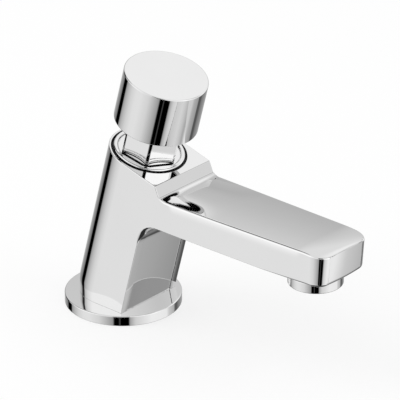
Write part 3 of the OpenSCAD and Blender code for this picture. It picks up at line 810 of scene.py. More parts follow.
    def crowned(self, crown, crown_rate, roll):
        """How a crowned face spreads from side to side, rolled over towards its edges."""
        def spread(flat):
            columns = []
            for column in range(1, self.MIDDLE):
                y = -flat * math.cos(math.pi * column / self.MIDDLE)
                past = max(0.0, 1 - (flat - abs(y)) / self.sizes.roll_w)
                tilt = crown * y / flat + math.copysign(roll * past ** self.ROLL_POWER, y)
                bulge = y * y / (2 * flat)
                columns.append((y, crown * bulge, tilt, crown_rate * bulge))
            edge = {
                "depth": crown * flat / 2, "tilt": crown, "shown": crown + roll,
                "fall": crown_rate * flat / 2,
            }
            return columns, edge
        return spread

    def panelled(self, share):
        """How the front face spreads from side to side: a bevel, the panel behind it, a bevel."""
        sizes = self.sizes
        bevel, bow = sizes.panel_bevel * share, sizes.panel_bow * share
        steep, depth = sizes.panel_wall * share, sizes.panel_depth * share
        strip = sizes.panel_strip
        edge_depth = strip * math.tan(bevel) / 2
        halfway, beside = (bevel * shown for shown in self.BEVEL_SHOWN)

        def spread(flat):
            inner = flat - strip - (1 - share) * sizes.panel_corner
            panel = inner - self.WALL - self.SEAM
            half = [
                (inner + strip / 2, edge_depth / 4, halfway), (inner, 0.0, beside),
                (inner - self.SEAM, 0.0, -steep), (inner - self.WALL, depth, -steep),
            ]
            half += [(panel * step / 6, depth, bow * step / 6) for step in range(6, 0, -1)]
            near = [(-y, drop, -tilt, 0.0) for y, drop, tilt in half]
            far = [(y, drop, tilt, 0.0) for y, drop, tilt in half[::-1]]
            edge = {"depth": edge_depth, "tilt": bevel, "shown": bevel, "fall": 0.0}
            return [*near, (0.0, depth, 0.0, 0.0), *far], edge
        return spread

    @staticmethod
    def whole(row):
        """A row's points from side to side."""
        return [*row["near"], *row["between"], *row["far"][::-1]]

    def inside(self, row):
        """The same without the rounded edges."""
        return self.whole(row)[self.ARC:-self.ARC]

    def join(self, row, following, middle=True):
        """Joins two rows, over their whole width or only along their rounded edges."""
        if middle:
            self.skin.strip(self.whole(row), self.whole(following))
        else:
            self.skin.strip(row["near"], following["near"])
            self.skin.strip(row["far"][::-1], following["far"][::-1])

    def upper_belt(self):
        """Rows over the top face's edges, step, spout and tip, and where the spout narrows."""
        sizes = self.sizes
        brow = Vector((self.reach, self.foot.y + sizes.spout_rise))
        narrowing = sizes.taper_start + sizes.cove_run

        def on_top(x):
            return self.foot.lerp(brow, (x - self.foot.x) / (brow.x - self.foot.x))

        corners = [
            on_axis(0, sizes.column_top).xz, self.edge, self.foot, on_top(narrowing),
            on_top(narrowing + sizes.taper_blend), brow, brow - Vector((0, sizes.brow_drop)),
        ]
        at_edge, at_foot, at_taper, at_tapered, at_brow = range(1, 6)
        radii = [
            0, sizes.step_edge, (sizes.cove_rise, sizes.cove_run), 0, 0,
            (sizes.brow_run, sizes.brow_drop), 0,
        ]
        stations = rounded_outline(corners, radii, 2 * MM)[:-1]
        places = [0.0]
        for station, following in zip(stations, stations[1:]):
            places.append(places[-1] + (following.point - station.point).length)

        def place_of(corner, end=0):
            return [p for p, s in zip(places, stations) if s.corner == corner][end]

        cove, foot = place_of(at_foot), place_of(at_foot, -1)
        crown_keys = [
            (cove, 0.0), (foot, sizes.crown), (place_of(at_brow), sizes.crown),
            (places[-1], sizes.bow),
        ]
        roll_end = foot + sizes.roll_run
        roll_keys = [
            (cove, 0.0), (foot, sizes.roll), (roll_end, sizes.roll),
            (roll_end + sizes.roll_fade, 0.0),
        ]
        edge_keys = [(cove, sizes.rim_edge), (foot, sizes.spout_edge)]
        band_keys = [
            (self.foot.x + sizes.cove_run, 0.0),
            (self.foot.x + 2 * sizes.cove_run, sizes.side_band),
            (self.turn_x - sizes.corner_run, sizes.side_band), (self.turn_x - 1 * MM, 0.0),
        ]
        step = 0.01 * MM
        front = next(i for i, s in enumerate(stations) if s.corner == at_edge)
        kept = [*zip(places, stations)]
        kept = kept[:1] + kept[front:]
        rows = []
        for place, station in kept:
            rate = (eased(place + step, crown_keys) - eased(place - step, crown_keys)) / (2 * step)
            spread = self.crowned(eased(place, crown_keys), rate, eased(place, roll_keys))
            band = eased(station.point.x, band_keys)
            rows.append(self.belt_row(station, eased(place, edge_keys), spread, place > 0, band))
        for index, (row, following) in enumerate(zip(rows, rows[1:])):
            self.join(row, following, middle=index > 0)
            for name, order in (("near", 1), ("far", -1)):
                pairs = [[r[name + "_band"], r[name][0]][::order] for r in (row, following)]
                self.skin.strip(*pairs)
        marks = [
            next(i for i, (p, s) in enumerate(kept) if s.corner == corner)
            for corner in (at_taper, at_tapered)
        ]
        return rows, marks

    def tip(self, rows):
        """The tip's face and its upright rounded edges, down to the chin. Gives the lowest row."""
        turn_row = max(i for i, row in enumerate(rows) if row["edge_x"] <= self.turn_x)
        turning, last = rows[turn_row:], rows[-1]
        above = [row["near"][0] for row in turning]
        above += [*last["between"], *[row["far"][0] for row in turning][::-1]]
        below = []
        rake = self.sizes.tip_rake
        top_share, foot_share = self.RAKE_SHOWN
        for number in above:
            point, normal = self.skin.points[number], self.skin.normals[number]
            low = Vector((point.x - normal.x * rake, point.y, self.under + self.sizes.tip_chin))
            fall = rake / (point.z - low.z) * normal.x
            shown = Vector((normal.x, normal.y, -top_share * fall))
            self.skin.normals[number] = shown.normalized()
            below.append(self.skin.add(low, Vector((normal.x, normal.y, -foot_share * fall))))
        self.skin.strip(above, below)
        return turn_row, below

    def chin(self, columns):
        """Rounds the tip's lower edge, and gives the row where it meets the underside."""
        arcs = []
        for number in columns:
            point, normal = self.skin.points[number], self.skin.normals[number]
            wall = Vector((normal.x, normal.y, 0)).normalized()
            corner = Vector((point.x, point.y, self.under))
            arc = [number]
            for step in range(1, self.ARC + 1):
                share = step / self.ARC
                arc.append(self.skin.add(
                    *rounded_edge(corner, wall, -UP, self.sizes.tip_chin, share)
                ))
            arcs.append(arc)
        rows = [[arc[step] for arc in arcs] for step in range(self.ARC + 1)]
        self.skin.strips(rows)
        return rows[-1], {"near": arcs[0], "between": [], "far": arcs[-1]}

    def lower_belt(self, first_row):
        """Rows over underside, arch, front and base's edges, and where the spout narrows."""
        sizes = self.sizes
        start = self.skin.points[first_row["near"][0]].x
        panel = box_middle("aerator_housing").x - sizes.outlet_run
        tapered = sizes.taper_start + sizes.taper_blend
        slope = AXIS.x / AXIS.z
        front = on_axis(sizes.column_front, 0)

        def front_at(z):
            return (front.x + (z - front.z) * slope, z)

        corners = [
            (start, self.under), (panel, self.under), (tapered, self.under),
            (sizes.taper_start, self.under), front_at(self.under), front_at(self.base_z),
            (self.heel_x, self.base_z),
        ]
        at_panel, at_arch, at_foot, at_heel = 1, 4, 5, 6
        radii = [0, 0, 0, 0, sizes.arch_r, sizes.foot_edge, 0]
        stations = rounded_outline(corners, radii, 6 * MM)
        last = max(i for i, s in enumerate(stations) if s.corner == at_foot)
        edge_keys = [
            (self.base_z + sizes.foot_edge, self.foot_r), (self.base_z + 4 * MM, sizes.under_edge),
        ]
        rows = [first_row]
        for station in [*stations[1:last + 1], stations[-1]]:
            x, facing = station.point.x, station.normal
            radius = eased(station.point.y, edge_keys)
            if facing.y < self.FLAT and x > panel - TINY:
                share = (x - panel) / (start - panel)
                radius = sizes.under_edge + (sizes.tip_chin - sizes.under_edge) * share
            if station.corner == at_arch:
                share = math.asin(min(facing.x / AXIS.z, 1.0)) / (math.pi / 2)
                radius += (sizes.arch_edge - radius) * math.sin(math.pi * share) ** 2
            if station.corner == at_panel:
                panel_row = len(rows)
            spread = self.panelled(eased(facing.x, self.PANEL_KEYS))
            edges_only = x > panel + TINY or station.corner == at_heel
            rows.append(self.belt_row(station, radius, spread, middle=not edges_only))
        for index, (row, following) in enumerate(zip(rows, rows[1:])):
            self.join(row, following, middle=panel_row <= index < len(rows) - 2)

        def away(index, x):
            point = self.skin.points[rows[index]["near"][-1]]
            return abs(point.x - x) + abs(point.z - self.under)

        marks = [
            min(range(len(rows)), key=lambda index: away(index, x))
            for x in (tapered, sizes.taper_start)
        ]
        return rows, panel_row, marks

    def round_back(self, top_row, base_row):
        """The half-round back from the flange up to the top face. Gives its edges."""
        sizes = self.sizes
        top, heel = on_axis(0, sizes.column_top), Vector((self.heel_x, 0, self.base_z))
        stations = rounded_outline(
            [
                (self.heel_x, self.base_z + self.foot_r),
                (self.heel_x, sizes.heel_ahead * AXIS.z / AXIS.x),
                on_axis(0, sizes.column_top - sizes.rim_edge).xz,
            ],
            [0, sizes.heel_bend, 0], 4 * MM, bend=math.radians(2),
        )
        turns = [math.pi * (column / self.BACK - 0.5) for column in range(self.BACK + 1)]

        def ring(maker, ends=None):
            near, far = ends or [self.skin.add(*maker(turn)) for turn in (turns[0], turns[-1])]
            return [near, *[self.skin.add(*maker(turn)) for turn in turns[1:-1]], far]

        def edge_ring(row, step, middle, ahead, cap, radius):
            def maker(turn):
                wall = ahead * -math.cos(turn) + ACROSS * math.sin(turn)
                corner = middle + wall * self.half
                return rounded_edge(corner, wall, cap, radius, step / self.ARC)
            return ring(maker, (row["near"][step], row["far"][step]))

        def wall_ring(station):
            behind, middle = standing(station.normal), standing(station.point)

            def maker(turn):
                normal = behind * math.cos(turn) + ACROSS * math.sin(turn)
                return middle + normal * self.half, normal
            return ring(maker)

        steps = range(self.ARC + 1)
        base = [
            edge_ring(base_row, step, heel, FORWARD, -UP, self.foot_r) for step in reversed(steps)
        ]
        walls = [wall_ring(station) for station in stations[1:-1]]
        rim = [edge_ring(top_row, step, top, AHEAD, AXIS, sizes.rim_edge) for step in steps]
        self.skin.strips([*base, *walls, *rim])
        columns = {"near": [row[0] for row in walls], "far": [row[-1] for row in walls]}
        return base[0], rim[-1], columns

    def sides(self, upper, turn_row, lower, upper_marks, lower_marks, columns):
        """The flat sides, split where the spout starts to narrow and where it tapers evenly."""
        taper, tapered = upper_marks
        under_tapered, under_taper = (mark - 1 for mark in lower_marks)
        for name, column in columns.items():
            above = [row[name + "_band"] for row in upper[:turn_row + 1]]
            below = [row[name][0] for row in lower[1:]]
            spout = above[tapered:] + [lower[0][name][0]] + below[:under_tapered + 1]
            blend = above[taper:tapered + 1] + below[under_tapered:under_taper + 1]
            trunk = above[:taper + 1] + below[under_taper:] + column
            for loop in (spout, blend, trunk):
                self.skin.face(loop[::-1] if name == "near" else loop)

    def bores(self):
        """The stepped bore down the column, from its floor up to the recess's rim."""
        sizes = self.sizes
        corners = [
            (0, sizes.chamber_floor), (sizes.chamber_r, sizes.chamber_floor),
            (sizes.chamber_r, sizes.cage_floor), (sizes.cage_r, sizes.cage_floor),
            (sizes.cage_r, sizes.thread_floor), (sizes.thread_r, sizes.thread_floor),
            (sizes.thread_r, sizes.recess_floor), (sizes.recess_r, sizes.recess_floor),
            (sizes.recess_r, sizes.column_top), (sizes.recess_r + 0.3 * MM, sizes.column_top),
        ]
        outline = rounded_outline(corners, [0] + [FINE] * 8 + [0], bend=math.radians(30))

        # The recess's wall below its rim is painted dark as shade
        def dull(point):
            return point.y < sizes.column_top - 0.25 * MM

        return self.skin.lathe(outline, leaning(), even_turns(96), dull=dull)[-1]

    def boss(self):
        """The outlet boss and its bore, from the underside inwards."""
        sizes = self.sizes
        low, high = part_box("aerator_housing")
        ring_r = (high.x - low.x) / 2
        root_r = ring_r + sizes.boss_flare
        foot, roof = self.under - sizes.boss_drop, self.under + sizes.boss_bore_top
        corners = [
            (root_r + 0.6 * MM, self.under), (root_r, self.under), (ring_r, foot),
            (sizes.boss_bore_r, foot), (sizes.boss_bore_r, roof), (0, roof),
        ]
        outline = rounded_outline(corners, [0, 0.5 * MM, 0.35 * MM, FINE, FINE, 0])
        place = upright(box_middle("aerator_housing").x)
        return self.skin.lathe(outline, place, even_turns(72))[0]

    def socket(self):
        """The socket for the tail's spigot in the base."""
        sizes = self.sizes
        roof = self.base_z + sizes.socket_depth
        corners = [
            (sizes.socket_r + 0.4 * MM, self.base_z), (sizes.socket_r, self.base_z),
            (sizes.socket_r, roof), (0, roof),
        ]
        outline = rounded_outline(corners, [0, FINE, FINE, 0])
        return self.skin.lathe(outline, upright(), even_turns(48))[0]

    def build(self):
        """The whole skin."""
        upper, upper_marks = self.upper_belt()
        turn_row, tip_row = self.tip(upper)
        chin_row, first_row = self.chin(tip_row)
        lower, panel_row, lower_marks = self.lower_belt(first_row)
        base_arc, top_arc, columns = self.round_back(upper[0], lower[-1])
        self.sides(upper, turn_row, lower, upper_marks, lower_marks, columns)
        top_loop = [upper[0]["near"][-1], *self.inside(upper[1]), *top_arc[::-1][:-1]]
        self.skin.fill(top_loop, self.bores(), AXIS)
        under_loop = [
            *chin_row, *[row["far"][-1] for row in lower[1:panel_row]],
            *self.inside(lower[panel_row])[::-1],
            *[row["near"][-1] for row in lower[1:panel_row]][::-1],
        ]
        self.skin.fill(under_loop, self.boss(), -UP)
        base_loop = [*self.inside(lower[-2]), *base_arc[::-1]]
        self.skin.fill(base_loop, self.socket(), -UP)
        return self.skin


class TAP_OT_cast_body(bpy.types.Operator):
    """Cast body with its leaning column, step, spout and outlet boss"""

    bl_idname = "tap.cast_body"
    bl_label = "Cast body"

    def execute(self, context):
        BodyBuilder(context.scene.tap_body).build().piece("cast_body", "tap_body")
        return {"FINISHED"}


# Turned chrome pieces


class TAP_OT_base_flange(bpy.types.Operator):
    """Round base flange with the groove for its seal"""

    bl_idname = "tap.base_flange"
    bl_label = "Base flange"

    def execute(self, context):
        sizes = context.scene.tap_fittings
        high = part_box("base_flange")[1]
        rim, top = high.x, high.z
        corners = [
            (sizes.flange_hole_r, top), (rim, top), (rim, 0), (sizes.seal_out, 0),
            (sizes.seal_out, sizes.seal_depth), (sizes.seal_in, sizes.seal_depth),
            (sizes.seal_in, 0), (sizes.flange_hole_r, 0),
        ]
        radii = [FINE, sizes.flange_edge, 0.25 * MM] + [FINE] * 5
        skin = Skin()
        skin.lathe(rounded_outline(corners, radii, closed=True), upright(), even_turns(144), True)
        skin.piece("base_flange_turned", "base_flange")
        return {"FINISHED"}


class TAP_OT_push_button(bpy.types.Operator):
    """Plain round push button with its skirt and the boss for the stem"""

    bl_idname = "tap.push_button"
    bl_label = "Push button"

    def execute(self, context):
        sizes = context.scene.tap_head
        corners = [
            (0, sizes.button_top), (sizes.button_r, sizes.button_top),
            (sizes.button_r, sizes.button_foot), (sizes.skirt_r, sizes.button_foot),
            (sizes.skirt_r, sizes.skirt_roof), (sizes.boss_r, sizes.skirt_roof),
            (sizes.boss_r, sizes.boss_foot), (sizes.spigot_r, sizes.boss_foot),
            (sizes.spigot_r, sizes.spigot_top), (0, sizes.spigot_top),
        ]
        edge = sizes.button_edge
        radii = [0] + [edge] * 3 + [sizes.skirt_edge] * 2 + [0.3 * MM, FINE, FINE, 0]

        # The inside of the skirt is painted dark as shade
        def dull(point):
            return point.x < sizes.skirt_r + TINY and point.y < sizes.button_top - edge

        skin = Skin()
        skin.lathe(rounded_outline(corners, radii), leaning(), even_turns(144), dull=dull)
        skin.piece("push_button_turned", "push_button", body="plunger")
        return {"FINISHED"}


class TAP_OT_outlet_ring(bpy.types.Operator):
    """Round ring at the outlet, with the spigot that screws into the boss"""

    bl_idname = "tap.outlet_ring"
    bl_label = "Outlet ring"

    def execute(self, context):
        sizes = context.scene.tap_fittings
        low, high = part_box("aerator_housing")
        rim, foot, top = (high.x - low.x) / 2, low.z, high.z
        shelf, lip = foot + sizes.ring_h, foot + sizes.lip_h
        corners = [
            (sizes.spigot_r, shelf), (rim, shelf), (rim, foot), (sizes.lip_r, foot),
            (sizes.lip_r, lip), (sizes.bore_r, lip), (sizes.bore_r, top), (sizes.spigot_r, top),
        ]
        radii = [FINE, 0.35 * MM, sizes.ring_edge, sizes.ring_edge / 2] + [FINE] * 4
        skin = Skin()
        place = upright(box_middle("aerator_housing").x)
        skin.lathe(rounded_outline(corners, radii, closed=True), place, even_turns(96), True)
        skin.piece("outlet_ring_turned", "aerator_housing")
        return {"FINISHED"}


# Hexagon pieces


def hexagon_columns(apothem, land_r, edge=0.12 * MM, flat_steps=8, land_steps=4):
    """Points and normals round a hexagon whose corners are turned to a round land."""
    land_half = math.pi / 6 - math.acos(apothem / land_r)
    inset = edge / land_r
    columns = []
    for side in range(6):
        facing, corner = math.tau * side / 6, math.tau * (side + 0.5) / 6
        out = Vector((math.cos(facing), math.sin(facing)))
        along = Vector((-out.y, out.x))
        half = math.sqrt(land_r ** 2 - apothem ** 2) - edge
        for step in range(flat_steps + 1):
            columns.append((out * apothem + along * half * (2 * step / flat_steps - 1), out))
        for step in range(land_steps + 1):
            turn = corner + (land_half - inset) * (2 * step / land_steps - 1)
            normal = Vector((math.cos(turn), math.sin(turn)))
            columns.append((normal * land_r, normal))
    return columns


class TAP_OT_head_nut(bpy.types.Operator):
    """Head nut: a round flange in its recess, a hexagon, and the timing cylinder inside"""

    bl_idname = "tap.head_nut"
    bl_label = "Head nut"

    def execute(self, context):
        sizes = context.scene.tap_head
        skin = Skin()
        columns = hexagon_columns(sizes.hex_af / 2, sizes.hex_land_r)
        place = leaning() @ Matrix.Rotation(sizes.hex_turn + math.pi / 6, 4, "Z")
        turns = [math.atan2(point.y, point.x) for point, normal in columns]

        def hex_row(offset, level, rise):
            """A row round the hexagon, moved out of it, its normal turned up from the wall."""
            row = []
            for point, normal in columns:
                wall = normal.to_3d()
                facing = wall * math.cos(rise) + UP * math.sin(rise)
                row.append(skin.add(
                    place @ (point.to_3d() + wall * offset + UP * level), place.to_3x3() @ facing
                ))
            return row

        seal = (sizes.cylinder_top + sizes.hex_top) / 2
        bead_r, seam_floor = sizes.seam_r + sizes.seam_w, sizes.ring_floor - sizes.seam_depth
        corners = [
            (sizes.seam_r - FINE, sizes.ring_floor), (sizes.seam_r, sizes.ring_floor),
            (sizes.seam_r, seam_floor), (bead_r, seam_floor), (bead_r, sizes.ring_top),
            (sizes.ring_r, sizes.ring_top), (sizes.ring_r, sizes.ring_land),
            (sizes.flange_r, sizes.ring_land), (sizes.flange_r, sizes.flange_foot),
            (sizes.thread_r, sizes.flange_foot), (sizes.thread_r, sizes.thread_foot),
            (sizes.cylinder_r, sizes.thread_foot), (sizes.cylinder_r, sizes.cylinder_top),
            (sizes.gland_r, sizes.cylinder_top),
            (sizes.gland_r, seal - sizes.seal_half), (sizes.seal_r, seal - sizes.seal_half),
            (sizes.seal_r, seal + sizes.seal_half), (sizes.gland_r, seal + sizes.seal_half),
            (sizes.gland_r, sizes.hex_top), (sizes.gland_r + 1 * MM, sizes.hex_top),
        ]
        seam_edge = 0.04 * MM
        radii = [0] + [seam_edge] * 3 + [sizes.ring_edge] * 2 + [FINE] * 13 + [0]

        # The nut below its seam, down in the recess, is painted dark as shade
        def dull(point):
            return point.y < seam_floor - seam_edge

        rings = skin.lathe(rounded_outline(corners, radii), place, turns, dull=dull)
        edge, inset, foot = sizes.hex_edge, -sizes.hex_inset, sizes.ring_floor + sizes.hex_gap
        rows = [rings[-1]]
        for step in range(4):
            rise = math.pi / 2 * (1 - step / 3)
            rows.append(hex_row(
                edge * (math.cos(rise) - 1), sizes.hex_top + edge * (math.sin(rise) - 1), rise
            ))
        rows.append(hex_row(0.0, foot, 0.0))
        skin.strips(rows, True)
        down = -math.pi / 2
        undercut = [
            rows[-1], hex_row(-seam_edge / 2, foot, down), hex_row(inset, foot, down),
            hex_row(inset, sizes.ring_floor, 0.0),
        ]
        # The undercut at the hexagon's foot is painted dark as shade
        skin.strips(undercut, True, 1)
        skin.strip(hex_row(inset, sizes.ring_floor, -down), rings[0], True)
        skin.piece("head_nut_turned", "head_nut")
        return {"FINISHED"}


class TAP_OT_backnut(bpy.types.Operator):
    """Brass backnut with chamfered corners"""

    bl_idname = "tap.backnut"
    bl_label = "Backnut"

    # Radii of the corners' land and of the end faces, as shares of half the width across flats
    LAND, FACE = 1.13, 0.95
    # Slope of the corners' chamfer, the steps over it, and the bend that counts as an edge
    SLOPE, STEPS, SHARP = math.radians(60), 8, math.radians(20)

    def execute(self, context):
        sizes = context.scene.tap_fittings
        low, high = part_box("backnut")
        half = sizes.nut_af / 2
        face_r = half * self.FACE
        columns = hexagon_columns(half, half * self.LAND)
        turns = [math.atan2(point.y, point.x) for point, normal in columns]
        rises = [sizes.nut_chamfer * step / self.STEPS for step in range(self.STEPS + 1)]
        skin = Skin()
        rows = []
        for level in [high.z - rise for rise in rises] + [low.z + rise for rise in rises[::-1]]:
            cone = face_r + min(level - low.z, high.z - level) * math.tan(self.SLOPE)
            row = []
            for point, normal in columns:
                share = min(1.0, cone / point.length)
                row.append(skin.add((point * share).to_3d() + UP * level, normal.to_3d()))
            rows.append(row)
        corners = [
            (face_r - 1 * MM, low.z), (sizes.nut_bore_r, low.z), (sizes.nut_bore_r, high.z),
            (face_r - 1 * MM, high.z),
        ]
        bore = rounded_outline(corners, [0, sizes.nut_bore_edge, sizes.nut_bore_edge, 0])
        rings = skin.lathe(bore, upright(), turns)
        skin.strips([rings[-1], *rows, rings[0]], True)
        made = skin.piece("backnut_turned", "backnut", slot="bare_brass")
        made.data.normals_split_custom_set([(0, 0, 0)] * len(made.data.loops))
        made.data.set_sharp_from_angle(angle=self.SHARP)
        return {"FINISHED"}


# Tail and spring


class TAP_OT_inlet_tail(bpy.types.Operator):
    """Brass tail with its pipe thread, run-out groove and strainer mouth"""

    bl_idname = "tap.inlet_tail"
    bl_label = "Inlet tail"

    COLUMNS, ROWS_A_TURN = 64, 12
    # Share of a pitch over which the thread fades, and what is left of it at the chamfered end
    FADE, LEFT = 0.6, 0.35
    # Height of that chamfer, and how far it goes in as a share of its height
    CHAMFER, SLOPE = 1.2 * MM, 0.6

    def execute(self, context):
        sizes = context.scene.tap_fittings
        low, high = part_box("inlet_tail")
        thread_r, foot, top = high.x, low.z, high.z
        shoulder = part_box("base_flange")[1].z
        groove_r, bore_rim = thread_r - sizes.thread_depth, sizes.tail_bore_r + 0.5 * MM
        mouth_roof, groove_edge = foot + sizes.mouth_depth, 0.1 * MM
        skin = Skin()

        def turned(corners, radii):
            return skin.lathe(rounded_outline(corners, radii), upright(), even_turns(self.COLUMNS))

        upper = turned(
            [
                (bore_rim, top), (sizes.tail_spigot_r, top), (sizes.tail_spigot_r, shoulder),
                (thread_r, shoulder), (thread_r, sizes.thread_start),
            ],
            [0, 0.4 * MM, FINE, FINE, 0],
        )
        thread = self.thread(skin, thread_r, sizes.thread_start, sizes.groove_top, sizes, 0)
        groove = turned(
            [
                (groove_r, sizes.groove_top - groove_edge),
                (groove_r, sizes.groove_foot + groove_edge),
            ],
            [0, 0],
        )
        skin.strips([upper[-1], *thread, groove[0]], True)
        thread = self.thread(skin, thread_r, sizes.groove_foot, foot + FINE, sizes, self.CHAMFER)
        lower = turned(
            [
                (groove_r, foot), (sizes.mouth_r, foot), (sizes.mouth_r, mouth_roof),
                (sizes.tail_bore_r, mouth_roof), (sizes.tail_bore_r, top), (bore_rim, top),
            ],
            [0, 0.3 * MM, FINE, FINE, FINE, 0],
        )
        skin.strips([groove[-1], *thread, lower[0]], True)
        skin.strip(lower[-1], upper[0], True)
        skin.piece("inlet_tail_threaded", "inlet_tail", slot="bare_brass")
        return {"FINISHED"}

    def thread(self, skin, crest_r, start, end, sizes, chamfer):
        """Rows of a right-hand thread down the tail, faded at its ends."""
        depth, pitch = sizes.thread_depth, sizes.thread_pitch
        count = max(2, round((start - end) / pitch * self.ROWS_A_TURN))
        fade = pitch * self.FADE
        left = self.LEFT if chamfer else 0.0
        rows = []
        for index in range(1, count):
            z = start + (end - start) * index / count
            share = min(1.0, (start - z) / fade, max(0.0, z - end) / fade + left)
            cut = chamfer * self.SLOPE * max(0.0, 1 - (z - end) / chamfer) if chamfer else 0.0
            row = []
            for turn in even_turns(self.COLUMNS):
                phase = math.tau * (z / pitch) - turn
                radius = crest_r - share * depth * (0.5 - 0.5 * math.cos(phase)) - cut
                slope = -share * depth * 0.5 * math.sin(phase) * math.tau / pitch
                out = Vector((math.cos(turn), math.sin(turn), 0))
                row.append(skin.add(out * radius + UP * z, out - UP * slope))
            rows.append(row)
        return rows


class TAP_OT_return_spring(bpy.types.Operator):
    """Steel return spring with a closed turn at each end"""

    bl_idname = "tap.return_spring"
    bl_label = "Return spring"

    OPEN_TURNS, STEPS_A_TURN, WIRE_SIDES = 6, 32, 12

    def execute(self, context):
        sizes = context.scene.tap_fittings
        wire, coil, closed = sizes.wire_r, sizes.coil_r, sizes.closed_pitch
        height = sizes.coil_top - sizes.coil_foot - 2 * wire
        pitch = (height - 2 * closed) / self.OPEN_TURNS
        place = leaning()
        skin = Skin()
        rows = []
        for index in range((self.OPEN_TURNS + 2) * self.STEPS_A_TURN + 1):
            turn = index / self.STEPS_A_TURN
            level = (
                closed * min(turn, 1) + pitch * min(max(turn - 1, 0), self.OPEN_TURNS)
                + closed * max(turn - 1 - self.OPEN_TURNS, 0)
            )
            out = Vector((math.cos(math.tau * turn), math.sin(math.tau * turn), 0))
            middle = out * coil + UP * (sizes.coil_foot + wire + level)
            row = []
            for side in even_turns(self.WIRE_SIDES):
                normal = out * math.cos(side) + UP * math.sin(side)
                row.append(skin.add(place @ (middle + normal * wire), place.to_3x3() @ normal))
            rows.append(row)
        for row, following in zip(rows, rows[1:]):
            skin.strip(following, row, True)
        skin.face(rows[0])
        skin.face(rows[-1][::-1])
        made = skin.piece("return_spring_wound", "return_spring", slot="stainless_steel")
        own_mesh(made)
        return {"FINISHED"}


class TAP_OT_inner_pieces(bpy.types.Operator):
    """Finishes for the seals, washers and cartridge pieces that keep their solid's shape"""

    bl_idname = "tap.inner_pieces"
    bl_label = "Inner pieces"

    def execute(self, context):
        for part in frame["record"]["subparts"]:
            node = frame["nodes"][part["node"]]
            if node.hide_render:
                continue
            material = finish_for(part["material_slot"])
            if not node.material_slots:
                node.data.materials.append(material)
            for slot in node.material_slots:
                slot.material = material
        return {"FINISHED"}


# Studio


